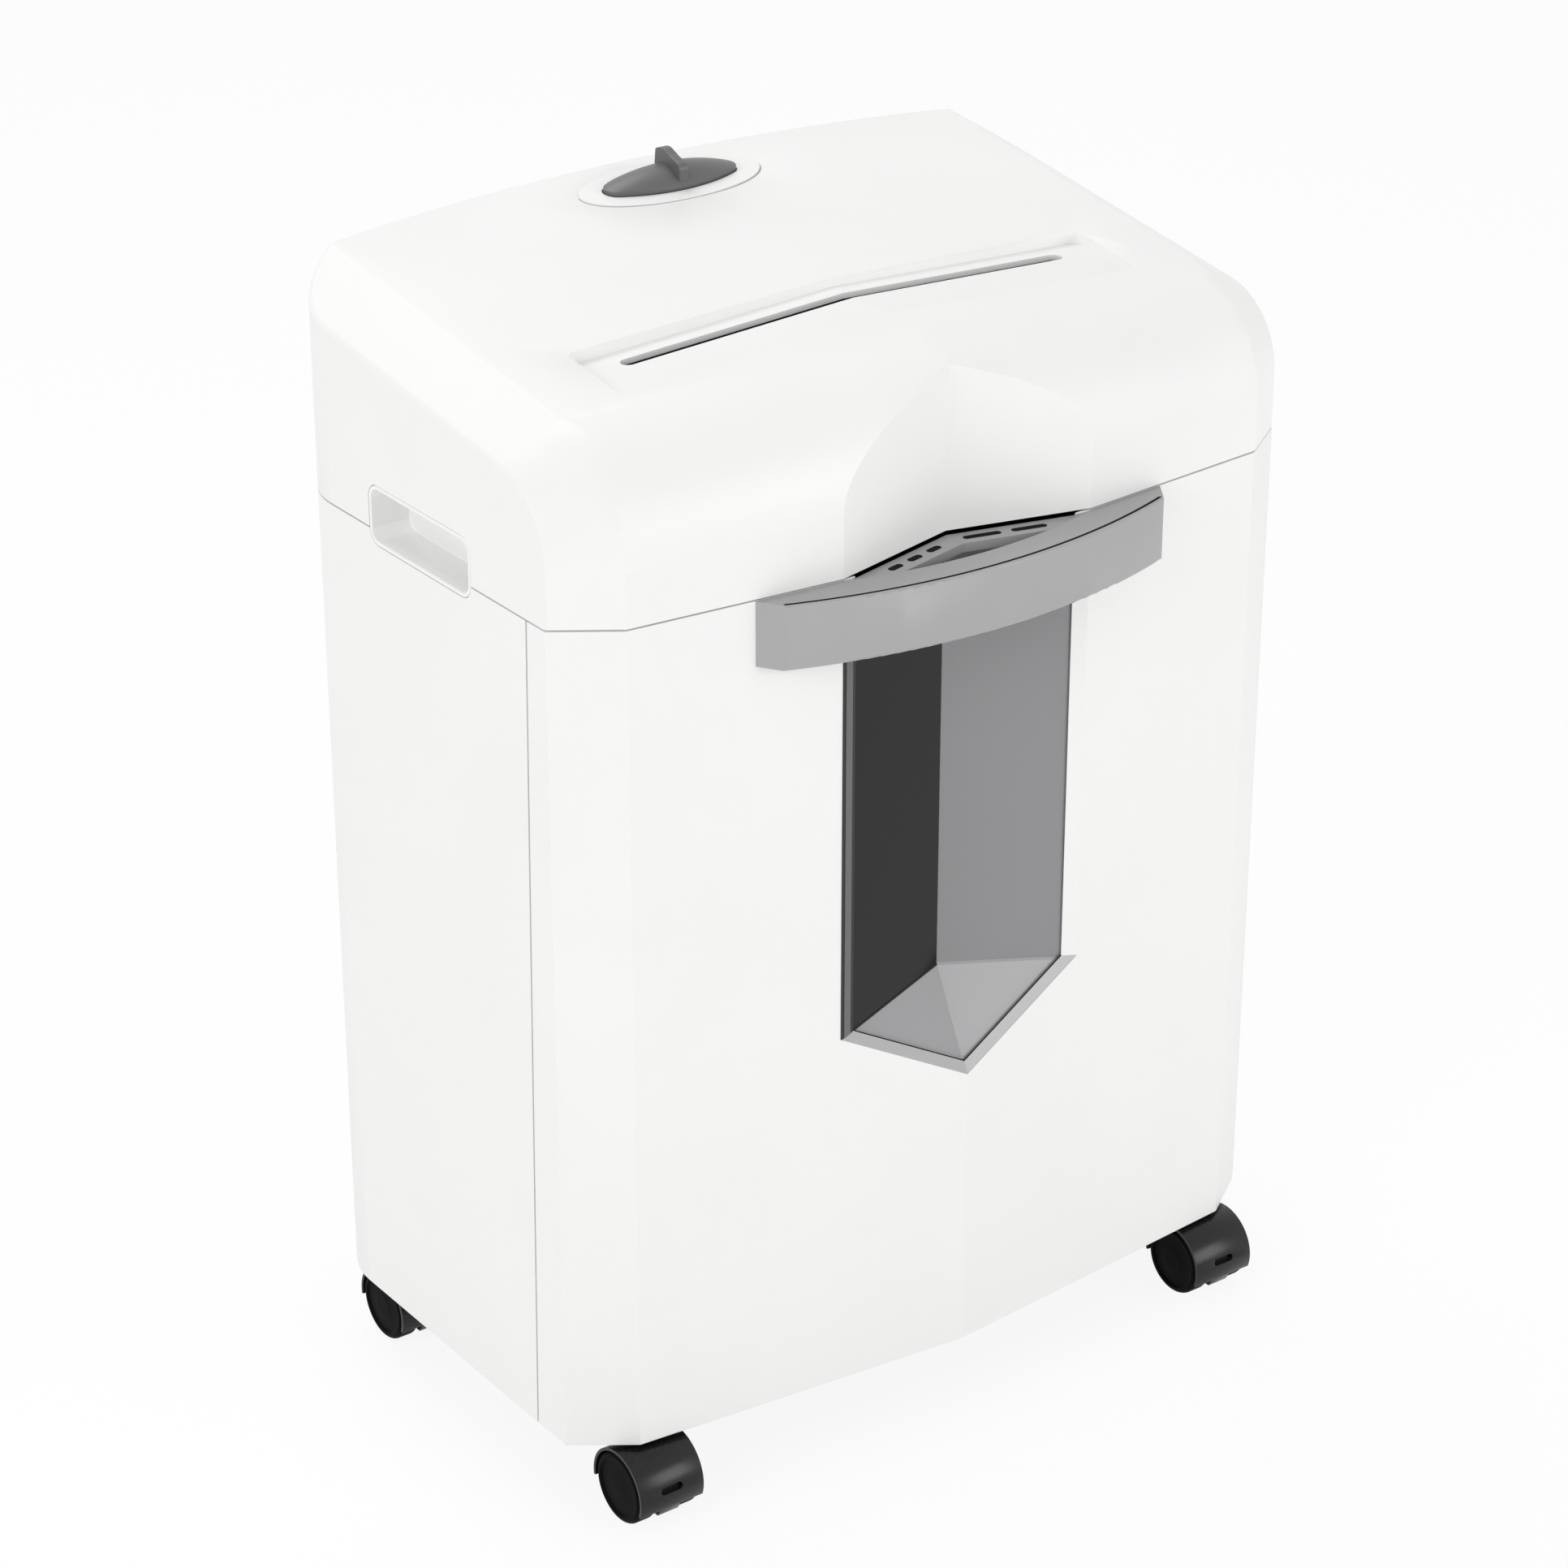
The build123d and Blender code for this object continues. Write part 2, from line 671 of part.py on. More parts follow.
# Head base: the plate under the cutting block, with the outlet over the bin.
OUTLET_HALF = PLATE_X - OUTLET_SIDE
OUTLET_FRONT = SLOT_Y - CUTTER_GAP / 2 - CUTTER_R - OUTLET_SPARE
OUTLET_REAR = SLOT_Y + CUTTER_GAP / 2 + CUTTER_R + OUTLET_SPARE
BOARD_POSTS = [
    (x, y)
    for x in (BOARD_LOW[0] + BOARD_POST_INSET, BOARD_HIGH[0] - BOARD_POST_INSET)
    for y in (BOARD_LOW[1] + BOARD_POST_INSET, BOARD_HIGH[1] - BOARD_POST_INSET)
]
base_blank = head_form(WALL + CASE_FIT)
with BuildPart() as head_base:
    extrude(case_plan(0, Plane.XY.offset(HEAD_Z)), amount=HEAD_BASE_THICK)
    add(base_blank, mode=Mode.INTERSECT)
    outlet = block((-OUTLET_HALF, OUTLET_FRONT, HEAD_Z), (OUTLET_HALF, OUTLET_REAR, HEAD_BASE_TOP))
    add(outlet, mode=Mode.SUBTRACT)
    for side in (-1, 1):
        add(grip_hollow(side, -CASE_FIT, HALF, GRIP_DEPTH + CASE_FIT), mode=Mode.SUBTRACT)
    for x, y in HEAD_BOSSES:
        add(rod_z(x, y, SCREW_R, HEAD_Z, HEAD_BASE_TOP), mode=Mode.SUBTRACT)
    for x, y in BOARD_POSTS:
        add(rod_z(x, y, BOARD_POST_R, HEAD_BASE_TOP, BOARD_Z))
head_base.part.label = "head_base"
export_step(head_base.part, "parts/head_base.step")

# Bin front: the panel that wraps the front corners, with bosses for the tub.
TUB_BOSSES = [(x, z) for x in (-TUB_BOSS_X, TUB_BOSS_X) for z in TUB_BOSS_LEVELS]
with BuildPart() as bin_front:
    add(plan_ring(0, PANEL_WALL, SKIRT_Z, CASE_TOP_Z))
    split(bisect_by=rake_plane(-SEAM_GAP / 2), keep=Keep.BOTTOM)
    for x, z in TUB_BOSSES:
        add(rod_y(x, z, TUB_BOSS_R, front_y(x) + PANEL_WALL / 2, TUB_FRONT_Y))
    for x, z in TUB_BOSSES:
        add(rod_y(x, z, SCREW_R, TUB_FRONT_Y - SCREW_LENGTH, TUB_FRONT_Y), mode=Mode.SUBTRACT)
    add(recess_part(0, SEAM_Z), mode=Mode.SUBTRACT)
bin_front.part.label = "bin_front"
export_step(bin_front.part, "parts/bin_front.step")

# Smoked window: a V-shaped pane behind the panel, with a flange round its edge.
WINDOW_TOP = CASE_TOP_Z - STRIP_SINK - STRIP_THICK - CASE_FIT
pane_seat = PANEL_WALL + RUN_FIT
pane_front = recess_part(WINDOW_STEP, SEAM_Z)
pane_flange = recess_part(WINDOW_STEP + WINDOW_FLANGE, WINDOW_TOP) & panel_slab(
    pane_seat, pane_seat + WINDOW_FLANGE_THICK, SEAM_Z
)
with BuildPart() as bin_window:
    add(recess_part(WINDOW_STEP + WINDOW_WALL, WINDOW_TOP))
    add(panel_slab(-HANDLE_REACH - MARGIN, pane_seat, SEAM_Z), mode=Mode.SUBTRACT)
    add(pane_flange)
    add(pane_front, mode=Mode.SUBTRACT)
bin_window.part.label = "bin_window"
export_step(bin_window.part, "parts/bin_window.step")

# Handle: a bowed bar across the panel, with a slotted V-strip along the notch behind it.


def notch_line(x, out):
    """Wall of the notch at a place across it, moved out towards the front."""
    return NOTCH_Y - NOTCH_SLOPE * abs(x) - out * hypot(1, NOTCH_SLOPE)


with BuildPart() as bin_handle:
    with BuildSketch(Plane.XY.offset(CASE_TOP_Z - BAR_HEIGHT)):
        with BuildLine():
            Polyline(
                (-NOTCH_HALF, front_y(NOTCH_HALF)),
                (-BAR_FOOT_HALF, front_y(BAR_FOOT_HALF)),
                (-BAR_HALF, BAR_END_Y),
            )
            ThreePointArc((-BAR_HALF, BAR_END_Y), (0, HANDLE_Y), (BAR_HALF, BAR_END_Y))
            Polyline(
                (BAR_HALF, BAR_END_Y),
                (BAR_FOOT_HALF, front_y(BAR_FOOT_HALF)),
                (NOTCH_HALF, front_y(NOTCH_HALF)),
            )
            ThreePointArc(
                (NOTCH_HALF, front_y(NOTCH_HALF)), (0, BAR_BACK_Y), (-NOTCH_HALF, front_y(NOTCH_HALF))
            )
        make_face()
    extrude(amount=BAR_HEIGHT)
    front_edges = bin_handle.edges().filter_by(GeomType.CIRCLE).group_by(Axis.Y)[0]
    fillet(front_edges, BAR_EDGE_R)
    with BuildSketch(Plane.XY.offset(CASE_TOP_Z)):
        with BuildLine():
            near, far = BAR_GROOVE_SET, BAR_GROOVE_SET + BAR_GROOVE
            near_end, far_end = (BAR_HALF, BAR_END_Y + near), (BAR_HALF, BAR_END_Y + far)
            ThreePointArc((-near_end[0], near_end[1]), (0, HANDLE_Y + near), near_end)
            Line(near_end, far_end)
            ThreePointArc(far_end, (0, HANDLE_Y + far), (-far_end[0], far_end[1]))
            Line((-far_end[0], far_end[1]), (-near_end[0], near_end[1]))
        make_face()
    extrude(amount=-BAR_GROOVE, mode=Mode.SUBTRACT)
    with BuildSketch(Plane.XY.offset(WINDOW_TOP + CASE_FIT)):
        with BuildLine():
            Polyline(
                (0, notch_line(0, CASE_FIT)),
                (NOTCH_HALF, notch_line(NOTCH_HALF, CASE_FIT)),
                (NOTCH_HALF, notch_line(NOTCH_HALF, STRIP_WIDTH)),
                (0, notch_line(0, STRIP_WIDTH)),
                (-NOTCH_HALF, notch_line(NOTCH_HALF, STRIP_WIDTH)),
                (-NOTCH_HALF, notch_line(NOTCH_HALF, CASE_FIT)),
                close=True,
            )
        make_face()
        for x, length in STRIP_SLOTS:
            with Locations((x, notch_line(x, (CASE_FIT + STRIP_WIDTH) / 2))):
                tilt = degrees(atan2(NOTCH_SLOPE, 1))
                SlotOverall(length, SLOT_CUT, rotation=-tilt if x > 0 else tilt, mode=Mode.SUBTRACT)
    extrude(amount=STRIP_THICK)
bin_handle.part.label = "bin_handle"
export_step(bin_handle.part, "parts/bin_handle.step")

# Waste tub: an open box that follows the case inside, with a rim and a cut-out behind the window.
tub_outer = WALL + TUB_GAP
with BuildPart() as bin_tub:
    extrude(case_plan(tub_outer, Plane.XY.offset(TUB_FLOOR_Z)), amount=TUB_TOP_Z - TUB_FLOOR_Z)
    rim_low = TUB_TOP_Z - TUB_RIM_THICK
    extrude(case_plan(tub_outer - TUB_RIM, Plane.XY.offset(rim_low)), amount=TUB_RIM_THICK)
    split(bisect_by=Plane.XZ.offset(-TUB_FRONT_Y), keep=Keep.BOTTOM)
    inner_low = TUB_FLOOR_Z + TUB_WALL
    with BuildSketch(Plane.XY.offset(inner_low)) as inside:
        add(case_plan(tub_outer + TUB_WALL, Plane.XY.offset(inner_low)))
        with Locations((0, TUB_FRONT_Y + TUB_WALL - CASE_DEPTH)):
            Rectangle(2 * CASE_WIDTH, 2 * CASE_DEPTH, mode=Mode.SUBTRACT)
    extrude(amount=TUB_TOP_Z - inner_low, mode=Mode.SUBTRACT)
    add(
        block(
            (-TUB_VIEW_HALF, TUB_FRONT_Y - TUB_WALL, TUB_VIEW_LOW),
            (TUB_VIEW_HALF, TUB_FRONT_Y + 2 * TUB_WALL, TUB_VIEW_TOP),
        ),
        mode=Mode.SUBTRACT,
    )
    for x, z in TUB_BOSSES:
        hole = rod_y(x, z, SCREW_R, TUB_FRONT_Y - TUB_WALL, TUB_FRONT_Y + 2 * TUB_WALL)
        add(hole, mode=Mode.SUBTRACT)
bin_tub.part.label = "bin_tub"
export_step(bin_tub.part, "parts/bin_tub.step")

# Screws: four up into the head cover, four through the tub into the bin front.


def screw(origin, direction):
    """Pan-head screw that runs from under its head along a direction."""
    plane = Plane(origin=origin, z_dir=direction)
    with BuildPart() as fastener:
        with BuildSketch(plane):
            Circle(SCREW_R)
        extrude(amount=SCREW_LENGTH)
        with BuildSketch(plane):
            Circle(SCREW_HEAD_R)
        extrude(amount=-SCREW_HEAD)
        crown = fastener.edges().filter_by(GeomType.CIRCLE).sort_by(Axis(origin, direction))[0]
        fillet(crown, SCREW_HEAD / 2)
    return fastener.part


with BuildPart() as head_screws:
    for x, y in HEAD_BOSSES:
        add(screw((x, y, HEAD_Z), (0, 0, 1)))
head_screws.part.label = "head_screws"
export_step(head_screws.part, "parts/head_screws.step")

with BuildPart() as bin_screws:
    for x, z in TUB_BOSSES:
        add(screw((x, TUB_FRONT_Y + TUB_WALL, z), (0, -1, 0)))
bin_screws.part.label = "bin_screws"
export_step(bin_screws.part, "parts/bin_screws.step")

# Base plate with caster bosses and the two rails that the tub slides on.
BASE_Z = SKIRT_Z + BASE_THICK
BASE_TOP = BASE_Z + BASE_THICK
BASE_INSET = PANEL_WALL + BASE_EDGE
RAIL_FRONT_Y = TUB_FRONT_Y + RAIL_SETBACK
CASTERS = {
    "front_left": (-FRONT_CASTER[0], FRONT_CASTER[1]),
    "front_right": FRONT_CASTER,
    "rear_left": (-REAR_CASTER[0], REAR_CASTER[1]),
    "rear_right": REAR_CASTER,
}
with BuildPart() as base_plate:
    extrude(case_plan(BASE_INSET, Plane.XY.offset(BASE_Z)), amount=BASE_THICK)
    for x, y in CASTERS.values():
        add(rod_z(x, y, BOSS_R, BASE_Z, BASE_TOP + BOSS_HEIGHT))
    for side in (-1, 1):
        add(
            block(
                (side * RAIL_X - RAIL_WIDTH / 2, RAIL_FRONT_Y, BASE_TOP),
                (side * RAIL_X + RAIL_WIDTH / 2, RAIL_REAR_Y, TUB_FLOOR_Z - CASE_FIT),
            )
        )
    for x, y in CASTERS.values():
        add(rod_z(x, y, SOCKET_R, BASE_Z, BASE_TOP + BOSS_HEIGHT), mode=Mode.SUBTRACT)
base_plate.part.label = "base_plate"
export_step(base_plate.part, "parts/base_plate.step")

# Sleeves in the bosses that the caster stems turn in.
with BuildPart() as caster_sockets:
    for x, y in CASTERS.values():
        sleeve = rod_z(x, y, SOCKET_R - RUN_FIT, BASE_Z, BASE_TOP + BOSS_HEIGHT)
        add(sleeve - rod_z(x, y, STEM_R + RUN_FIT, BASE_Z, BASE_TOP + BOSS_HEIGHT))
caster_sockets.part.label = "caster_sockets"
export_step(caster_sockets.part, "parts/caster_sockets.step")

# Twin-wheel casters.
WHEEL_START = WEB_HALF + HOOD_GAP
WHEEL_END = WHEEL_START + WHEEL_WIDTH
HOOD_R = WHEEL_R + HOOD_GAP + HOOD_WALL
STEM_TOP = BASE_TOP + BOSS_HEIGHT - STEM_SINK
COLLAR_TOP = BASE_Z - COLLAR_GAP


def caster_hood(x, y):
    """Hood over both wheels, with the web between them and the stem collar."""
    axle_y = y - CASTER_TRAIL
    inner = WHEEL_R + HOOD_GAP
    with BuildPart() as hood:
        with BuildSketch(Plane.YZ.offset(x)):
            with BuildLine():
                outer_arc = CenterArc((axle_y, WHEEL_R), HOOD_R, HOOD_FROM, HOOD_TO - HOOD_FROM)
                inner_arc = CenterArc((axle_y, WHEEL_R), inner, HOOD_FROM, HOOD_TO - HOOD_FROM)
                Line(outer_arc @ 0, inner_arc @ 0)
                Line(outer_arc @ 1, inner_arc @ 1)
            make_face()
        extrude(amount=WHEEL_END, both=True)
        with BuildSketch(Plane.YZ.offset(x)):
            with Locations((axle_y, WHEEL_R)):
                Circle(inner + HOOD_WALL / 2)
            with Locations((axle_y, WEB_LOW - HOOD_R)):
                Rectangle(4 * HOOD_R, 2 * HOOD_R, mode=Mode.SUBTRACT)
        extrude(amount=WEB_HALF, both=True)
        add(rod_z(x, y, WEB_HALF, WHEEL_R, COLLAR_TOP))
        slot_at = (x, axle_y - HOOD_R, WHEEL_R + HOOD_SLOT_UP)
        with BuildSketch(Plane(origin=slot_at, x_dir=(1, 0, 0), z_dir=(0, -1, 0))):
            SlotOverall(*HOOD_SLOT)
        extrude(amount=-HOOD_SLOT_DEPTH, mode=Mode.SUBTRACT)
        add(rod_x(axle_y, WHEEL_R, AXLE_R, x - WEB_HALF, x + WEB_HALF), mode=Mode.SUBTRACT)
        add(rod_z(x, y, STEM_R, STEM_LOW, COLLAR_TOP), mode=Mode.SUBTRACT)
    return hood


def caster_pins(x, y):
    """Upright stem and level axle of one caster."""
    reach = WHEEL_END - WHEEL_SKIN - CASE_FIT
    with BuildPart() as pins:
        add(rod_z(x, y, STEM_R - RUN_FIT / 2, STEM_LOW, STEM_TOP))
        add(rod_x(y - CASTER_TRAIL, WHEEL_R, AXLE_R - RUN_FIT / 2, x - reach, x + reach))
    return pins


def caster_wheel(x, y, side):
    """One wheel with a rounded tread, a dished face and a blind bore."""
    axle = (x, y - CASTER_TRAIL, WHEEL_R)
    rim = WHEEL_R - WHEEL_RIM
    with BuildPart() as wheel:
        with BuildSketch(Plane(origin=axle, x_dir=(side, 0, 0), z_dir=(0, -side, 0))) as profile:
            with BuildLine():
                Polyline(
                    (WHEEL_START, WHEEL_BORE_R),
                    (WHEEL_START, WHEEL_R),
                    (WHEEL_END, WHEEL_R),
                    (WHEEL_END, rim),
                    (WHEEL_END - WHEEL_DISH, rim - WHEEL_DISH),
                    (WHEEL_END - WHEEL_CAP_SINK, WHEEL_CAP_R),
                    (WHEEL_END - WHEEL_CAP_SINK, 0),
                    (WHEEL_END - WHEEL_SKIN, 0),
                    (WHEEL_END - WHEEL_SKIN, WHEEL_BORE_R),
                    close=True,
                )
            make_face()
            fillet(profile.vertices().group_by(Axis.Y)[-1], WHEEL_SHOULDER_R)
        revolve(axis=Axis(axle, (1, 0, 0)))
    return wheel


for name, (x, y) in CASTERS.items():
    hood = caster_hood(x, y)
    hood.part.label = f"caster_hood_{name}"
    export_step(hood.part, f"parts/caster_hood_{name}.step")
    pins = caster_pins(x, y)
    pins.part.label = f"caster_pins_{name}"
    export_step(pins.part, f"parts/caster_pins_{name}.step")
    for side, wheel_name in ((-1, "left"), (1, "right")):
        wheel = caster_wheel(x, y, side)
        wheel.part.label = f"caster_wheel_{name}_{wheel_name}"
        export_step(wheel.part, f"parts/caster_wheel_{name}_{wheel_name}.step")

# Switch: an oval seat let into the deck and a boat-shaped rocker with a thumb fin.


dome_rise = ROCKER_RISE - ROCKER_TIP
BARREL_R = (ROCKER_HALF_X**2 + dome_rise**2) / (2 * dome_rise)


def local(x, y, z):
    """Point given in the plane of the switch seat."""
    return SEAT_PLANE.from_local_coords(Vector(x, y, z))


def boat(grow):
    """Outline of the rocker, grown all round: two long arcs and two short ones at the ends."""
    shoulder = ROCKER_HALF_X - ROCKER_END_LENGTH
    half_x, half_y, end = ROCKER_HALF_X + grow, ROCKER_HALF_Y + grow, ROCKER_END_HALF + grow
    with BuildSketch(SEAT_PLANE) as outline:
        with BuildLine():
            ThreePointArc((-shoulder, end), (0, half_y), (shoulder, end))
            ThreePointArc((shoulder, end), (half_x, 0), (shoulder, -end))
            ThreePointArc((shoulder, -end), (0, -half_y), (-shoulder, -end))
            ThreePointArc((-shoulder, -end), (-half_x, 0), (-shoulder, end))
        make_face()
    return outline.sketch


dome_plane = Plane(origin=SEAT_PLANE.origin, x_dir=SEAT_PLANE.y_dir, z_dir=(1, 0, 0))
barrel_centre = local(0, 0, ROCKER_RISE - BARREL_R)
barrel_axis = Axis(barrel_centre, SEAT_PLANE.y_dir)
with BuildPart() as switch_rocker:
    with BuildSketch(Plane(origin=barrel_centre, x_dir=SEAT_PLANE.y_dir, z_dir=(-1, 0, 0))):
        with BuildLine():
            brim = BARREL_R - dome_rise
            inner = BARREL_R - 2 * ROCKER_RISE
            ThreePointArc((-ROCKER_HALF_Y, brim), (0, BARREL_R), (ROCKER_HALF_Y, brim))
            Polyline(
                (ROCKER_HALF_Y, brim),
                (ROCKER_HALF_Y, inner),
                (-ROCKER_HALF_Y, inner),
                (-ROCKER_HALF_Y, brim),
            )
        make_face()
    revolve(axis=barrel_axis)
    extrude(boat(0), amount=2 * ROCKER_RISE, mode=Mode.INTERSECT)
    extrude(boat(-CASE_FIT / 2), amount=-ROCKER_SKIRT)
    with BuildSketch(dome_plane) as fin:
        with BuildLine():
            fin_half = ROCKER_HALF_Y - FIN_THICK / 2
            fin_root = ROCKER_SKIRT / 2
            top = ROCKER_RISE + FIN_HEIGHT
            rear, crown, brow, face = [(y * fin_half, z * top) for y, z in FIN_SHAPE]
            Polyline((-fin_half, 0), (-fin_half, -fin_root), (fin_half, -fin_root), rear)
            ThreePointArc(rear, crown, brow)
            ThreePointArc(brow, face, (-fin_half, 0))
        make_face()
    extrude(amount=FIN_THICK / 2, both=True)
    with BuildSketch(SEAT_PLANE.offset(-PEG_DROP)):
        Circle(PEG_R)
    extrude(amount=PEG_DROP)
    with BuildSketch(Plane(origin=local(0, 0, -ROCKER_PIN_DROP), x_dir=(1, 0, 0), z_dir=SEAT_PLANE.y_dir)):
        Circle(ROCKER_PIN_R)
    extrude(amount=ROCKER_HALF_Y + ROCKER_GAP + COLLAR_WALL - CASE_FIT, both=True)
switch_rocker.part.label = "switch_rocker"
export_step(switch_rocker.part, "parts/switch_rocker.step")

with BuildPart() as switch_seat:
    with BuildSketch(SEAT_PLANE.offset(SEAT_PROUD)):
        Ellipse(SEAT_HALF_X - CASE_FIT / 2, SEAT_HALF_Y - CASE_FIT / 2)
    extrude(amount=-SEAT_PROUD - SEAT_THICK)
    with BuildSketch(SEAT_PLANE.offset(-SEAT_THICK)):
        Ellipse(SEAT_HALF_X + SEAT_FLANGE, SEAT_HALF_Y + SEAT_FLANGE)
    extrude(amount=SEAT_FLANGE_THICK)
    extrude(boat(ROCKER_GAP + COLLAR_WALL), amount=-COLLAR_DROP)
    extrude(boat(ROCKER_GAP), amount=COLLAR_DROP, both=True, mode=Mode.SUBTRACT)
    with BuildSketch(Plane(origin=local(0, 0, -ROCKER_PIN_DROP), x_dir=(1, 0, 0), z_dir=SEAT_PLANE.y_dir)):
        Circle(ROCKER_PIN_R + RUN_FIT)
    extrude(amount=ROCKER_HALF_Y + ROCKER_GAP + COLLAR_WALL, both=True, mode=Mode.SUBTRACT)
switch_seat.part.label = "switch_seat"
export_step(switch_seat.part, "parts/switch_seat.step")

with BuildPart() as switch_block:
    with BuildSketch(SEAT_PLANE.offset(-COLLAR_DROP)):
        Rectangle(2 * BLOCK_HALF_X, 2 * BLOCK_HALF_Y)
    extrude(amount=-BLOCK_TALL)
    with BuildSketch(SEAT_PLANE.offset(-COLLAR_DROP)):
        SlotOverall(*BLOCK_SLOT)
    extrude(amount=-BLOCK_SLOT_DEPTH, mode=Mode.SUBTRACT)
switch_block.part.label = "switch_block"
export_step(switch_block.part, "parts/switch_block.step")

# Paper throat under the slot, with the sensor pair on its two walls.
THROAT_LOW = CUTTER_Z + CUTTER_R + THROAT_CLEAR
throat_half_y = SLOT_WIDTH / 2 + THROAT_WALL
with BuildPart() as paper_throat:
    half = SLOT_LENGTH / 2 + THROAT_WALL
    under = TRAY_CREST_Z - WALL - CASE_FIT
    with BuildSketch(Plane(origin=(0, SLOT_Y, 0), x_dir=(1, 0, 0), z_dir=(0, -1, 0))):
        with BuildLine():
            Polyline(
                (-half, THROAT_LOW),
                (half, THROAT_LOW),
                (half, under - TRAY_FALL * half),
                (0, under),
                (-half, under - TRAY_FALL * half),
                close=True,
            )
        make_face()
    extrude(amount=throat_half_y, both=True)
    with BuildSketch(Plane.XY.offset(THROAT_LOW)):
        with Locations((0, SLOT_Y)):
            Rectangle(SLOT_LENGTH, SLOT_WIDTH)
    extrude(amount=TRAY_CREST_Z - THROAT_LOW, mode=Mode.SUBTRACT)
paper_throat.part.label = "paper_throat"
export_step(paper_throat.part, "parts/paper_throat.step")

with BuildPart() as paper_sensors:
    for side in (-1, 1):
        near = SLOT_Y + side * throat_half_y
        far = near + side * SENSOR[1]
        add(
            block(
                (-SENSOR[0] / 2, min(near, far), SENSOR_Z),
                (SENSOR[0] / 2, max(near, far), SENSOR_Z + SENSOR[2]),
            )
        )
paper_sensors.part.label = "paper_sensors"
export_step(paper_sensors.part, "parts/paper_sensors.step")

# Shaft centres, in the plane of the side plates.
FRONT_SHAFT = (SLOT_Y - CUTTER_GAP / 2, CUTTER_Z)
REAR_SHAFT = (SLOT_Y + CUTTER_GAP / 2, CUTTER_Z)
MOTOR_AXIS = (MOTOR_Y, MOTOR_Z)
LAY_TO_REAR = DRIVE_MODULE * (DRIVE_TEETH + LAY_PINION_TEETH) / 2
LAY_TO_MOTOR = MOTOR_MODULE * (LAY_WHEEL_TEETH + MOTOR_PINION_TEETH) / 2


def lay_axis():
    """Centre of the lay gear, at its two gear distances from its neighbours."""
    dy = MOTOR_AXIS[0] - REAR_SHAFT[0]
    dz = MOTOR_AXIS[1] - REAR_SHAFT[1]
    span = hypot(dy, dz)
    along = (span**2 + LAY_TO_REAR**2 - LAY_TO_MOTOR**2) / (2 * span)
    rise = sqrt(LAY_TO_REAR**2 - along**2)
    return (
        REAR_SHAFT[0] + (dy * along - dz * rise) / span,
        REAR_SHAFT[1] + (dz * along + dy * rise) / span,
    )


LAY_AXIS = lay_axis()

# Side plates of the cutting block; the right one also carries the motor and the lay gear.


def side_plate(start, rear_y):
    """Steel plate with a clipped front corner and holes for bushes and tie rods."""
    with BuildPart() as plate:
        with BuildSketch(Plane.YZ.offset(start)):
            with BuildLine():
                Polyline(
                    (PLATE_FRONT_Y, HEAD_BASE_TOP),
                    (rear_y, HEAD_BASE_TOP),
                    (rear_y, PLATE_TOP_Z),
                    (PLATE_FRONT_Y + PLATE_NOSE, PLATE_TOP_Z),
                    (PLATE_FRONT_Y, PLATE_TOP_Z - PLATE_NOSE),
                    close=True,
                )
            make_face()
            with Locations(FRONT_SHAFT, REAR_SHAFT):
                Circle(BUSH_R + RUN_FIT, mode=Mode.SUBTRACT)
            with Locations(*ROD_PLACES):
                Circle(ROD_R, mode=Mode.SUBTRACT)
        extrude(amount=PLATE_THICK)
    return plate


side_plate_left = side_plate(-PLATE_OUT, LEFT_PLATE_REAR_Y)
side_plate_left.part.label = "side_plate_left"
export_step(side_plate_left.part, "parts/side_plate_left.step")

right_blank = side_plate(PLATE_X, RIGHT_PLATE_REAR_Y)
with BuildPart() as side_plate_right:
    add(right_blank.part)
    add(rod_x(*MOTOR_AXIS, MOTOR_HOLE_R, PLATE_X, PLATE_OUT), mode=Mode.SUBTRACT)
    add(rod_x(*LAY_AXIS, LAY_PIN_R, PLATE_X, PLATE_OUT), mode=Mode.SUBTRACT)
side_plate_right.part.label = "side_plate_right"
export_step(side_plate_right.part, "parts/side_plate_right.step")

with BuildPart() as tie_rods:
    for y, z in ROD_PLACES:
        add(rod_x(y, z, ROD_R - RUN_FIT, -PLATE_OUT, PLATE_OUT))
        for side in (-1, 1):
            nut_start = side * PLATE_OUT if side > 0 else -PLATE_OUT - PLATE_THICK
            with BuildSketch(Plane.YZ.offset(nut_start)):
                with Locations((y, z)):
                    RegularPolygon(NUT_R, 6)
            extrude(amount=PLATE_THICK)
tie_rods.part.label = "tie_rods"
export_step(tie_rods.part, "parts/tie_rods.step")

with BuildPart() as shaft_bushes:
    for y, z in (FRONT_SHAFT, REAR_SHAFT):
        for side in (-1, 1):
            body_x = (side * PLATE_X, side * PLATE_OUT)
            body = rod_x(y, z, BUSH_R, min(body_x), max(body_x))
            lip_x = (side * PLATE_OUT, side * (PLATE_OUT + BUSH_FLANGE))
            lip = rod_x(y, z, BUSH_FLANGE_R, min(lip_x), max(lip_x))
            bore = rod_x(y, z, JOURNAL_R + RUN_FIT, -PLATE_OUT - PLATE_THICK, PLATE_OUT + PLATE_THICK)
            add(body + lip - bore)
shaft_bushes.part.label = "shaft_bushes"
export_step(shaft_bushes.part, "parts/shaft_bushes.step")

# Cutter shafts: hexagonal between the plates, round in the bushes and gears.
SHAFT_SHOULDER = PLATE_X - SHAFT_PLAY


def cutter_shaft(axis, right_end):
    """Shaft with a hexagonal middle and round ends."""
    with BuildPart() as shaft:
        with BuildSketch(Plane.YZ.offset(-SHAFT_SHOULDER)):
            with Locations(axis):
                RegularPolygon(SHAFT_HEX / 2, 6, major_radius=False)
        extrude(amount=2 * SHAFT_SHOULDER)
        add(rod_x(*axis, JOURNAL_R, -PLATE_OUT - SHAFT_TAIL, right_end))
    return shaft


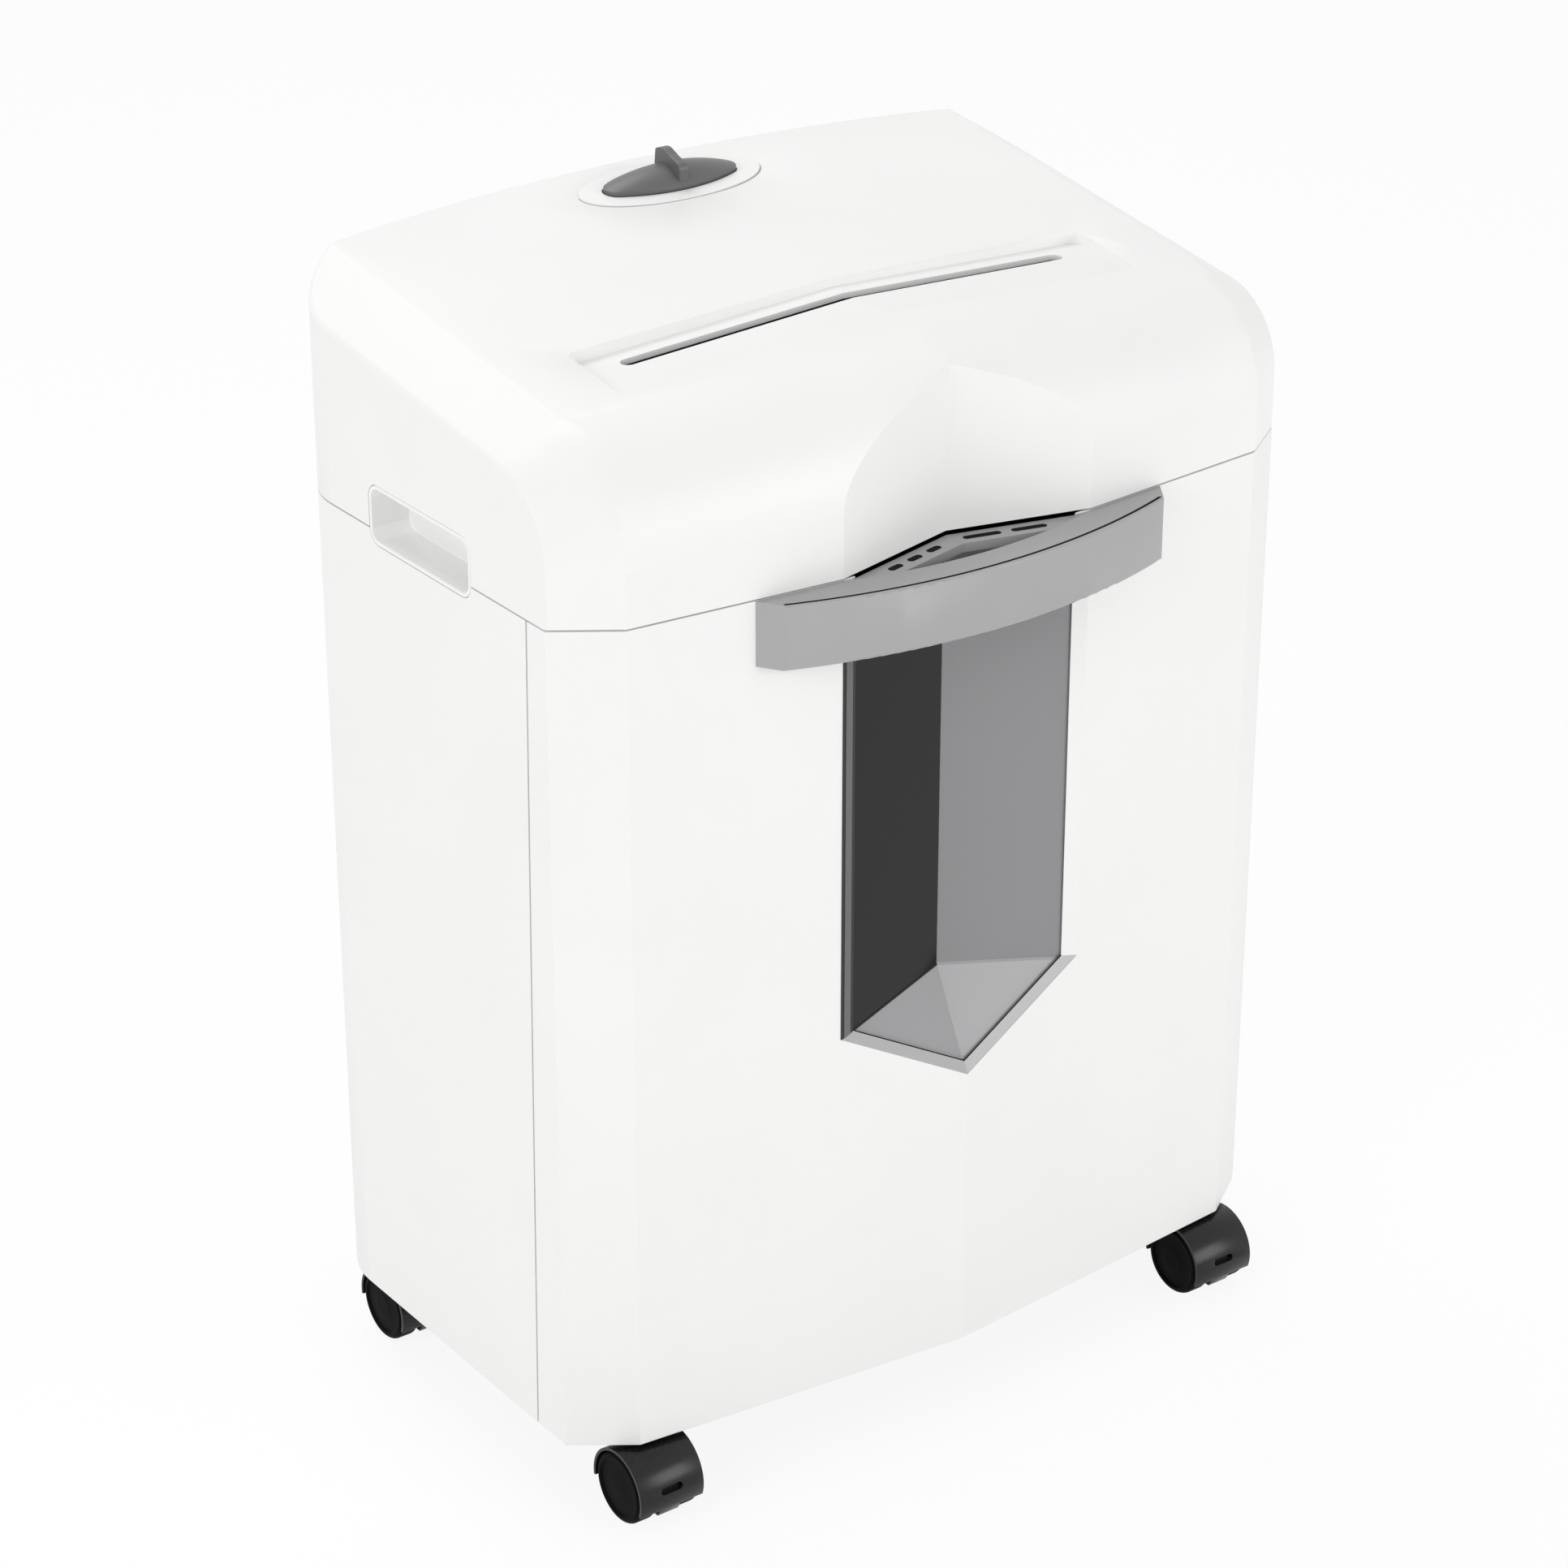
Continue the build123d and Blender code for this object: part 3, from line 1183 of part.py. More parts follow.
front_cutter_shaft = cutter_shaft(FRONT_SHAFT, SYNC_X + SYNC_FACE + SHAFT_PROUD)
front_cutter_shaft.part.label = "front_cutter_shaft"
export_step(front_cutter_shaft.part, "parts/front_cutter_shaft.step")
rear_cutter_shaft = cutter_shaft(REAR_SHAFT, DRIVE_X + DRIVE_FACE + SHAFT_PROUD)
rear_cutter_shaft.part.label = "rear_cutter_shaft"
export_step(rear_cutter_shaft.part, "parts/rear_cutter_shaft.step")

# Hooked cutter discs, each with the hub that spaces it from the next.


def cutter_disc(axis, middle, lean):
    """One disc with hooks round its rim, and its spacing hub."""
    start = middle - CUTTER_THICK / 2
    reach = CUTTER_R + HOOK_DEPTH
    tail = (reach * cos(radians(HOOK_SWEEP)), lean * reach * sin(radians(HOOK_SWEEP)))
    with BuildPart() as disc:
        with BuildSketch(Plane.YZ.offset(start)):
            with Locations(axis):
                Circle(CUTTER_R)
                with PolarLocations(0, CUTTER_HOOKS):
                    root = (CUTTER_R - HOOK_DEPTH, 0)
                    Polygon(root, (reach, 0), tail, align=None, mode=Mode.SUBTRACT)
        extrude(amount=CUTTER_THICK)
        with BuildSketch(Plane.YZ.offset(start + CUTTER_THICK)):
            with Locations(axis):
                Circle(CUTTER_HUB_R)
        extrude(amount=CUTTER_PITCH - CUTTER_THICK - DISC_GAP)
        with BuildSketch(Plane.YZ.offset(start)):
            with Locations(axis):
                RegularPolygon(SHAFT_HEX / 2 + RUN_FIT, 6, major_radius=False)
        extrude(amount=CUTTER_PITCH, mode=Mode.SUBTRACT)
    return disc.part


def disc_places(count):
    """Places of the discs along a shaft, spread evenly about its middle."""
    return [(i - (count - 1) / 2) * CUTTER_PITCH for i in range(count)]


with BuildPart() as front_cutter_discs:
    for x in disc_places(CUTTER_COUNT):
        add(cutter_disc(FRONT_SHAFT, x, 1))
front_cutter_discs.part.label = "front_cutter_discs"
export_step(front_cutter_discs.part, "parts/front_cutter_discs.step")

with BuildPart() as rear_cutter_discs:
    for x in disc_places(CUTTER_COUNT - 1):
        add(cutter_disc(REAR_SHAFT, x, -1))
rear_cutter_discs.part.label = "rear_cutter_discs"
export_step(rear_cutter_discs.part, "parts/rear_cutter_discs.step")

# Combs whose fingers strip the gaps between the discs.


def comb(axis, side, count):
    """Bar beside a cutter with one finger in each gap between its discs."""
    hub_edge = axis[0] + side * (CUTTER_HUB_R + COMB_CLEAR)
    bar_near = axis[0] + side * (CUTTER_R + COMB_CLEAR + HOOK_DEPTH)
    bar_far = bar_near + side * COMB_BAR
    low = axis[1] - COMB_HEIGHT / 2
    high = axis[1] + COMB_HEIGHT / 2
    places = disc_places(count)
    with BuildPart() as strip:
        add(block((-PLATE_X, min(bar_near, bar_far), low), (PLATE_X, max(bar_near, bar_far), high)))
        for x in places[:-1]:
            middle = x + CUTTER_PITCH / 2
            add(
                block(
                    (middle - COMB_FINGER / 2, min(hub_edge, bar_near), low),
                    (middle + COMB_FINGER / 2, max(hub_edge, bar_near), high),
                )
            )
        with BuildSketch(Plane.YZ.offset(-PLATE_X)):
            with Locations(axis):
                Circle(CUTTER_HUB_R + COMB_CLEAR)
        extrude(amount=2 * PLATE_X, mode=Mode.SUBTRACT)
    return strip


front_comb = comb(FRONT_SHAFT, -1, CUTTER_COUNT)
front_comb.part.label = "front_comb"
export_step(front_comb.part, "parts/front_comb.step")
rear_comb = comb(REAR_SHAFT, 1, CUTTER_COUNT - 1)
rear_comb.part.label = "rear_comb"
export_step(rear_comb.part, "parts/rear_comb.step")

# Gears. Flanks are involutes through the base, pitch and tip circles.


def involute(angle):
    """Involute function of an angle in radians."""
    return tan(angle) - angle


def gear_face(axis, x, teeth, module, phase):
    """Outline of a spur gear with one tooth centred on a phase angle."""
    pitch_r = teeth * module / 2
    base_r = pitch_r * cos(radians(PRESSURE_ANGLE))
    tip_r = pitch_r + ADDENDUM * module
    root_r = pitch_r - DEDENDUM * module
    start_r = max(base_r, root_r)
    half_pitch = pi / (2 * teeth) - BACKLASH / (4 * pitch_r)

    def half_angle(radius):
        return half_pitch + involute(radians(PRESSURE_ANGLE)) - involute(acos(min(1, base_r / radius)))

    flank = [(root_r, half_angle(start_r)), (start_r, half_angle(start_r))]
    flank += [(pitch_r, half_angle(pitch_r)), (tip_r, half_angle(tip_r))]
    if start_r - root_r < RUN_FIT:
        flank = flank[1:]
    points = []
    for tooth in range(teeth):
        middle = phase + 2 * pi * tooth / teeth
        rising = [(radius, middle - angle) for radius, angle in flank]
        falling = [(radius, middle + angle) for radius, angle in reversed(flank)]
        points += [(radius * cos(a), radius * sin(a)) for radius, a in rising + falling]
    with BuildSketch(Plane.YZ.offset(x)) as outline:
        with Locations(axis):
            Polygon(*points, align=None)
    return outline.sketch


def toward(start, end):
    """Direction from one gear centre to another, in radians."""
    return atan2(end[1] - start[1], end[0] - start[0])


def gap_phase(teeth, direction):
    """Phase that puts a gap between teeth in a direction."""
    return direction + pi / teeth


with BuildPart() as front_sync_gear:
    phase = toward(FRONT_SHAFT, REAR_SHAFT)
    extrude(gear_face(FRONT_SHAFT, SYNC_X, SYNC_TEETH, DRIVE_MODULE, phase), amount=SYNC_FACE)
    add(rod_x(*FRONT_SHAFT, JOURNAL_R, SYNC_X, SYNC_X + SYNC_FACE), mode=Mode.SUBTRACT)
front_sync_gear.part.label = "front_sync_gear"
export_step(front_sync_gear.part, "parts/front_sync_gear.step")

with BuildPart() as rear_sync_gear:
    phase = gap_phase(SYNC_TEETH, toward(REAR_SHAFT, FRONT_SHAFT))
    extrude(gear_face(REAR_SHAFT, SYNC_X, SYNC_TEETH, DRIVE_MODULE, phase), amount=SYNC_FACE)
    add(rod_x(*REAR_SHAFT, JOURNAL_R, SYNC_X, SYNC_X + SYNC_FACE), mode=Mode.SUBTRACT)
rear_sync_gear.part.label = "rear_sync_gear"
export_step(rear_sync_gear.part, "parts/rear_sync_gear.step")

DRIVE_RIM_R = DRIVE_MODULE * DRIVE_TEETH / 2 - RIM_BAND
with BuildPart() as cutter_drive_gear:
    phase = gap_phase(DRIVE_TEETH, toward(REAR_SHAFT, LAY_AXIS))
    extrude(gear_face(REAR_SHAFT, DRIVE_X, DRIVE_TEETH, DRIVE_MODULE, phase), amount=DRIVE_FACE)
    with BuildSketch(Plane.YZ.offset(DRIVE_X + DRIVE_WEB)):
        with Locations(REAR_SHAFT):
            Circle(DRIVE_RIM_R)
            Circle(DRIVE_HUB_R, mode=Mode.SUBTRACT)
    extrude(amount=DRIVE_FACE - DRIVE_WEB, mode=Mode.SUBTRACT)
    add(rod_x(*REAR_SHAFT, JOURNAL_R, DRIVE_X, DRIVE_X + DRIVE_FACE), mode=Mode.SUBTRACT)
cutter_drive_gear.part.label = "cutter_drive_gear"
export_step(cutter_drive_gear.part, "parts/cutter_drive_gear.step")

LAY_RIM_R = MOTOR_MODULE * LAY_WHEEL_TEETH / 2 - RIM_BAND
with BuildPart() as reduction_gear:
    pinion_phase = toward(LAY_AXIS, REAR_SHAFT)
    extrude(gear_face(LAY_AXIS, DRIVE_X, LAY_PINION_TEETH, DRIVE_MODULE, pinion_phase), amount=DRIVE_FACE)
    wheel_phase = gap_phase(LAY_WHEEL_TEETH, toward(LAY_AXIS, MOTOR_AXIS))
    extrude(gear_face(LAY_AXIS, LAY_X, LAY_WHEEL_TEETH, MOTOR_MODULE, wheel_phase), amount=WHEEL_FACE)
    with BuildSketch(Plane.YZ.offset(LAY_X + LAY_WEB)):
        with Locations(LAY_AXIS):
            Circle(LAY_RIM_R)
            Circle(LAY_HUB_R, mode=Mode.SUBTRACT)
    extrude(amount=WHEEL_FACE - LAY_WEB, mode=Mode.SUBTRACT)
    add(rod_x(*LAY_AXIS, LAY_HUB_R, DRIVE_X + DRIVE_FACE, LAY_X))
    add(rod_x(*LAY_AXIS, LAY_PIN_R + RUN_FIT, DRIVE_X, TRAIN_END), mode=Mode.SUBTRACT)
reduction_gear.part.label = "reduction_gear"
export_step(reduction_gear.part, "parts/reduction_gear.step")

with BuildPart() as reduction_pin:
    add(rod_x(*LAY_AXIS, LAY_PIN_R - RUN_FIT, PLATE_X, PLATE_OUT))
    add(rod_x(*LAY_AXIS, PIN_COLLAR_R, PLATE_OUT, DRIVE_X - CASE_FIT))
    add(rod_x(*LAY_AXIS, LAY_PIN_R, DRIVE_X - CASE_FIT, TRAIN_END + CASE_FIT))
    add(rod_x(*LAY_AXIS, PIN_COLLAR_R, TRAIN_END + CASE_FIT, TRAIN_END + CASE_FIT + PIN_HEAD))
reduction_pin.part.label = "reduction_pin"
export_step(reduction_pin.part, "parts/reduction_pin.step")

with BuildPart() as motor_pinion:
    phase = toward(MOTOR_AXIS, LAY_AXIS)
    extrude(gear_face(MOTOR_AXIS, LAY_X, MOTOR_PINION_TEETH, MOTOR_MODULE, phase), amount=WHEEL_FACE)
    add(rod_x(*MOTOR_AXIS, MOTOR_SHAFT_R, LAY_X, TRAIN_END), mode=Mode.SUBTRACT)
motor_pinion.part.label = "motor_pinion"
export_step(motor_pinion.part, "parts/motor_pinion.step")

# Gear cover: a shallow tray whose outline follows the gears behind it.
GEAR_ROUNDS = (
    (FRONT_SHAFT, DRIVE_MODULE * (SYNC_TEETH / 2 + ADDENDUM)),
    (REAR_SHAFT, DRIVE_MODULE * (DRIVE_TEETH / 2 + ADDENDUM)),
    (LAY_AXIS, MOTOR_MODULE * (LAY_WHEEL_TEETH / 2 + ADDENDUM)),
    (MOTOR_AXIS, MOTOR_MODULE * (MOTOR_PINION_TEETH / 2 + ADDENDUM)),
)


def gear_rounds(x, grow):
    """Joined circles round every gear in the train."""
    with BuildSketch(Plane.YZ.offset(x)) as rounds:
        for centre, radius in GEAR_ROUNDS:
            with Locations(centre):
                Circle(radius + grow)
    return rounds.sketch


with BuildPart() as gear_cover:
    cover_depth = COVER_END - PLATE_OUT
    outer_rounds = gear_rounds(PLATE_OUT, GEAR_CLEAR + GEAR_COVER_WALL)
    extrude(outer_rounds, amount=cover_depth + GEAR_COVER_WALL)
    extrude(gear_rounds(PLATE_OUT, GEAR_CLEAR), amount=cover_depth, mode=Mode.SUBTRACT)
    foot = HEAD_BASE_TOP + CASE_FIT
    add(
        block((PLATE_X, PLATE_FRONT_Y, SEAM_Z - MARGIN), (HALF, RIGHT_PLATE_REAR_Y, foot)),
        mode=Mode.SUBTRACT,
    )
    for y, z in ROD_PLACES:
        nut_room = rod_x(y, z, NUT_R + GEAR_CLEAR, PLATE_OUT, PLATE_OUT + PLATE_THICK + GEAR_CLEAR)
        add(nut_room, mode=Mode.SUBTRACT)
gear_cover.part.label = "gear_cover"
export_step(gear_cover.part, "parts/gear_cover.step")

# Motor: stator stack, field coils, armature with its shaft, cooling fan and end brackets.
STATOR_END = STATOR_X + STATOR_LENGTH
SHAFT_END = BRACKET_X - MOTOR_SHAFT_STUB

with BuildPart() as motor_stator:
    with BuildSketch(Plane.YZ.offset(STATOR_X)):
        with Locations(MOTOR_AXIS):
            RectangleRounded(2 * STATOR_HALF_Y, 2 * STATOR_HALF_Z, STATOR_CORNER_R)
            Circle(ROTOR_R + AIR_GAP, mode=Mode.SUBTRACT)
    extrude(amount=STATOR_LENGTH)
motor_stator.part.label = "motor_stator"
export_step(motor_stator.part, "parts/motor_stator.step")

with BuildPart() as motor_coils:
    for start in (STATOR_X - COIL_LENGTH, STATOR_END):
        for middle in (90, 270):
            arc = (middle - COIL_HALF_ANGLE, 2 * COIL_HALF_ANGLE)
            with BuildSketch(Plane.YZ.offset(start)):
                with BuildLine():
                    outer_arc = CenterArc(MOTOR_AXIS, COIL_OUT, *arc)
                    inner_arc = CenterArc(MOTOR_AXIS, COIL_IN, *arc)
                    Line(outer_arc @ 0, inner_arc @ 0)
                    Line(outer_arc @ 1, inner_arc @ 1)
                make_face()
            extrude(amount=COIL_LENGTH)
motor_coils.part.label = "motor_coils"
export_step(motor_coils.part, "parts/motor_coils.step")

with BuildPart() as motor_rotor:
    add(rod_x(*MOTOR_AXIS, MOTOR_SHAFT_R, SHAFT_END, TRAIN_END + SHAFT_PROUD))
    add(rod_x(*MOTOR_AXIS, ROTOR_R, STATOR_X + ROTOR_INSET, STATOR_END - ROTOR_INSET))
    add(rod_x(*MOTOR_AXIS, END_TURN_R, STATOR_X - END_TURN, STATOR_END + END_TURN))
    add(rod_x(*MOTOR_AXIS, COMMUTATOR_R, COMMUTATOR[0], COMMUTATOR[1]))
motor_rotor.part.label = "motor_rotor"
export_step(motor_rotor.part, "parts/motor_rotor.step")

with BuildPart() as motor_fan:
    add(rod_x(*MOTOR_AXIS, FAN_HUB_R, FAN_X, FAN_X + FAN_WIDTH))
    with BuildSketch(Plane.YZ.offset(FAN_X)):
        with Locations(MOTOR_AXIS):
            with PolarLocations(FAN_R / 2, FAN_BLADES):
                Rectangle(FAN_R, FAN_BLADE)
    extrude(amount=FAN_WIDTH)
    add(rod_x(*MOTOR_AXIS, MOTOR_SHAFT_R, FAN_X, FAN_X + FAN_WIDTH), mode=Mode.SUBTRACT)
motor_fan.part.label = "motor_fan"
export_step(motor_fan.part, "parts/motor_fan.step")

with BuildPart() as motor_brackets:
    for start, end, post_from, post_to in (
        (BRACKET_X, BRACKET_X + BRACKET_THICK, BRACKET_X + BRACKET_THICK, STATOR_X),
        (PLATE_X - BRACKET_THICK, PLATE_X, STATOR_END, PLATE_X - BRACKET_THICK),
    ):
        with BuildSketch(Plane.YZ.offset(start)):
            with Locations(MOTOR_AXIS):
                RectangleRounded(2 * STATOR_HALF_Y, 2 * BRACKET_HALF_Z, POST / 2)
        extrude(amount=end - start)
        for side in (-1, 1):
            with BuildSketch(Plane.YZ.offset(post_from)):
                with Locations((MOTOR_AXIS[0] + side * POST_OUT, MOTOR_AXIS[1])):
                    Rectangle(POST, POST)
            extrude(amount=post_to - post_from)
    add(rod_x(*MOTOR_AXIS, MOTOR_SHAFT_R + RUN_FIT, BRACKET_X, PLATE_X), mode=Mode.SUBTRACT)
motor_brackets.part.label = "motor_brackets"
export_step(motor_brackets.part, "parts/motor_brackets.step")

# Control board on its posts, with a relay, a transformer, a capacitor and a fuse.
BOARD_TOP = BOARD_Z + BOARD_THICK
with BuildPart() as control_board:
    add(block((*BOARD_LOW, BOARD_Z), (*BOARD_HIGH, BOARD_TOP)))
control_board.part.label = "control_board"
export_step(control_board.part, "parts/control_board.step")

with BuildPart() as board_parts:
    for (x, y), (long, wide, tall) in BOARD_BLOCKS:
        add(block((x, y, BOARD_TOP), (x + long, y + wide, BOARD_TOP + tall)))
    add(rod_z(*CAPACITOR_PLACE, CAPACITOR_R, BOARD_TOP, BOARD_TOP + CAPACITOR_TALL))
board_parts.part.label = "board_parts"
export_step(board_parts.part, "parts/board_parts.step")

# Bin interlock: a sprung plunger that the bin front pushes home.
plunger_z = HEAD_Z - INTERLOCK_TALL / 2
plunger_tip = front_y(INTERLOCK_X + PLUNGER_R) + PANEL_WALL * hypot(1, FRONT_SLOPE) + CASE_FIT
plunger_end = INTERLOCK_FRONT_Y + PLUNGER_TAIL
with BuildPart() as interlock_switch:
    add(
        block(
            (INTERLOCK_X - INTERLOCK_HALF, INTERLOCK_FRONT_Y, HEAD_Z - INTERLOCK_TALL),
            (INTERLOCK_X + INTERLOCK_HALF, INTERLOCK_REAR_Y, HEAD_Z),
        )
    )
    well_end = plunger_end + PLUNGER_TRAVEL + SLIDE_FIT
    well = rod_y(INTERLOCK_X, plunger_z, PLUNGER_R + RUN_FIT, INTERLOCK_FRONT_Y, well_end)
    add(well, mode=Mode.SUBTRACT)
interlock_switch.part.label = "interlock_switch"
export_step(interlock_switch.part, "parts/interlock_switch.step")

with BuildPart() as interlock_plunger:
    add(rod_y(INTERLOCK_X, plunger_z, PLUNGER_R, plunger_tip, plunger_end))
    fillet(interlock_plunger.edges().sort_by(Axis.Y)[0], PLUNGER_R / 2)
interlock_plunger.part.label = "interlock_plunger"
export_step(interlock_plunger.part, "parts/interlock_plunger.step")

# Cord gland: a bored sleeve outside the rear wall of the head, on a wider neck through the wall.
with BuildPart() as cord_gland:
    with BuildSketch(GLAND_PLANE.offset(CASE_FIT)):
        Circle(GLAND_FLANGE_R)
    extrude(amount=GLAND_FLANGE)
    with BuildSketch(GLAND_PLANE.offset(CASE_FIT)):
        Circle(GLAND_R - RUN_FIT)
    extrude(amount=GLAND_SLEEVE)
    with BuildSketch(GLAND_PLANE.offset(CASE_FIT)):
        Circle(GLAND_R - RUN_FIT)
    extrude(amount=-CASE_FIT - WALL - GLAND_TAIL)
    with BuildSketch(GLAND_PLANE.offset(-WALL - CASE_FIT)):
        Circle(GLAND_FLANGE_R)
    extrude(amount=-GLAND_FLANGE)
    with BuildSketch(GLAND_PLANE.offset(CASE_FIT)):
        Circle(GLAND_BORE_R)
    extrude(amount=GLAND_SLEEVE, mode=Mode.SUBTRACT)
    with BuildSketch(GLAND_PLANE.offset(CASE_FIT)):
        Circle(GLAND_WELL_R)
    extrude(amount=-CASE_FIT - WALL - GLAND_TAIL, mode=Mode.SUBTRACT)
cord_gland.part.label = "cord_gland"
export_step(cord_gland.part, "parts/cord_gland.step")
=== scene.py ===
"""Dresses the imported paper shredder: moulded finishes, soft edges, studio and camera."""

import logging
from dataclasses import dataclass, field
from enum import Enum
from math import asin, atan2, cos, hypot, radians, sin, tau
from typing import Any, Protocol

import bmesh
import bpy
from mathutils import Matrix, Vector


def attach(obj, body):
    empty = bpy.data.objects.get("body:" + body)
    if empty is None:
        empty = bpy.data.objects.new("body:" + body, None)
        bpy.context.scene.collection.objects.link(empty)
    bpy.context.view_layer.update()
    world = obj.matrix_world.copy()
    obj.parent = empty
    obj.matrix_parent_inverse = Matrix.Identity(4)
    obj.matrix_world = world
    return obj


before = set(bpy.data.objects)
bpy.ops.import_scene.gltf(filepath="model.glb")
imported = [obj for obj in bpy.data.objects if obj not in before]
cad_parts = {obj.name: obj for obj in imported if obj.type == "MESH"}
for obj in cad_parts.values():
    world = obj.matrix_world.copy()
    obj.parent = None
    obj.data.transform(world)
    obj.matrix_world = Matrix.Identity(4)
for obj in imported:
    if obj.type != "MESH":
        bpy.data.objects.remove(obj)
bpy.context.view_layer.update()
LOG = logging.getLogger("shredder")
MM = 0.001
WHITE = "#FFFFFF"
# Blender's wave texture turns through this many radians in one unit of its scale.
WAVE_RADIANS = 20
# Points closer than this are one point, and faces flatter than this are one face.
WELD_MM = 0.002
FLAT_DEG = 0.4


class Grain(Enum):
    """How a moulded face came out of its tool, as grain width and depth in millimetres."""

    SPARK_ERODED = (0.7, 0.012)
    SATIN = (0.45, 0.006)
    COARSE = (1.1, 0.03)


class Lay(Enum):
    """Direction that a metal's fine scratches run in, as a stretch along X, Y and Z."""

    TURNED = (8.0, 1.0, 1.0)
    ROLLED = (1.0, 0.05, 1.0)
    SINTERED = (1.0, 1.0, 1.0)


def linear(code: str) -> tuple[float, float, float, float]:
    """Turns an sRGB hex colour into linear RGBA.

    Args:
        code: Six hex digits with a leading hash sign.

    Returns:
        Linear red, green and blue, with an alpha of one.
    """
    parts = [int(code[i : i + 2], 16) / 255 for i in (1, 3, 5)]
    flat = [p / 12.92 if p <= 0.04045 else ((p + 0.055) / 1.055) ** 2.4 for p in parts]
    return (*flat, 1.0)


def add_node(
    tree: bpy.types.NodeTree,
    kind: str,
    inputs: dict[str | int, Any] | None = None,
    **settings: Any,
) -> bpy.types.Node:
    """Adds a node with its settings, constants and links.

    Args:
        tree: Node tree that gets the node.
        kind: Blender's name for the node type.
        inputs: Socket name or index to a constant, or to an output socket to link from.
        **settings: Properties of the node itself.

    Returns:
        The new node.
    """
    node = tree.nodes.new(kind)
    for name, value in settings.items():
        setattr(node, name, value)
    for key, value in (inputs or {}).items():
        if isinstance(value, bpy.types.NodeSocket):
            tree.links.new(value, node.inputs[key])
        else:
            node.inputs[key].default_value = value
    return node


def new_material(name: str) -> tuple[bpy.types.Material, bpy.types.NodeTree, bpy.types.Node]:
    """Starts a material with a bare shader.

    Args:
        name: Name of the material.

    Returns:
        The material, its node tree and its Principled shader.
    """
    material = bpy.data.materials.new(name)
    material.use_nodes = True
    tree = material.node_tree
    return material, tree, tree.nodes["Principled BSDF"]


def blend(
    tree: bpy.types.NodeTree, factor: bpy.types.NodeSocket, low: Any, high: Any
) -> bpy.types.NodeSocket:
    """Blends two colours.

    Args:
        tree: Node tree that gets the node.
        factor: Socket that is zero for the first colour and one for the second.
        low: First colour, or a socket that gives it.
        high: Second colour, or a socket that gives it.

    Returns:
        The socket with the blended colour.
    """
    colours = {"Factor": factor, 6: low, 7: high}
    return add_node(tree, "ShaderNodeMix", colours, data_type="RGBA").outputs[2]


def points(geometry: list[Any]) -> list[bmesh.types.BMVert]:
    """Picks the vertices out of what a bmesh operator returned."""
    return [part for part in geometry if isinstance(part, bmesh.types.BMVert)]


def background_rays(tree: bpy.types.NodeTree) -> bpy.types.NodeSocket:
    """Picks out the rays that show the background: to the camera, off a gloss or through glass.

    Args:
        tree: Node tree of the floor or the world.

    Returns:
        A socket that is one for those rays and zero for the rest.
    """
    path = add_node(tree, "ShaderNodeLightPath").outputs
    seen = path["Is Camera Ray"]
    for kind in ("Is Glossy Ray", "Is Transmission Ray"):
        seen = add_node(tree, "ShaderNodeMath", {0: seen, 1: path[kind]}, operation="MAXIMUM").outputs[0]
    return seen


def per_metre(size_mm: float) -> float:
    """Gives the texture scale at which one feature measures a size in millimetres."""
    return 1 / (size_mm * MM)


class Finish(Protocol):
    """Anything that can make a Blender material."""

    name: str

    def make(self) -> bpy.types.Material:
        """Makes the material."""


@dataclass(frozen=True)
class MouldedPlastic:
    """Injection-moulded ABS or nylon: an even colour, a fine tool grain and a soft broad sheen."""

    name: str
    colour: str
    shade: str
    roughness: float
    grain: Grain
    cloud_mm: float = 60.0
    ior: float = 1.54
    gloss: float = 0.5
    duller: float = 0.07
    shinier: float = 0.05
    bump: float = 0.6

    def make(self) -> bpy.types.Material:
        """Makes the material, with faint flow clouds and the grain as bump."""
        material, tree, shader = new_material(self.name)
        place = add_node(tree, "ShaderNodeTexCoord").outputs["Object"]
        width, depth = self.grain.value
        cloud = add_node(
            tree,
            "ShaderNodeTexNoise",
            {"Vector": place, "Scale": per_metre(self.cloud_mm), "Detail": 3.0, "Roughness": 0.5},
        )
        tone = blend(tree, cloud.outputs["Fac"], linear(self.shade), linear(self.colour))
        grit = add_node(
            tree,
            "ShaderNodeTexNoise",
            {"Vector": place, "Scale": per_metre(width), "Detail": 2.0, "Roughness": 0.6},
        )
        sheen = add_node(
            tree,
            "ShaderNodeMapRange",
            {
                "Value": grit.outputs["Fac"],
                "To Min": self.roughness - self.shinier,
                "To Max": self.roughness + self.duller,
            },
        )
        relief = add_node(
            tree,
            "ShaderNodeBump",
            {"Height": grit.outputs["Fac"], "Distance": depth * MM, "Strength": self.bump},
        )
        tree.links.new(tone, shader.inputs["Base Color"])
        tree.links.new(sheen.outputs["Result"], shader.inputs["Roughness"])
        tree.links.new(relief.outputs["Normal"], shader.inputs["Normal"])
        shader.inputs["IOR"].default_value = self.ior
        shader.inputs["Specular IOR Level"].default_value = self.gloss
        return material


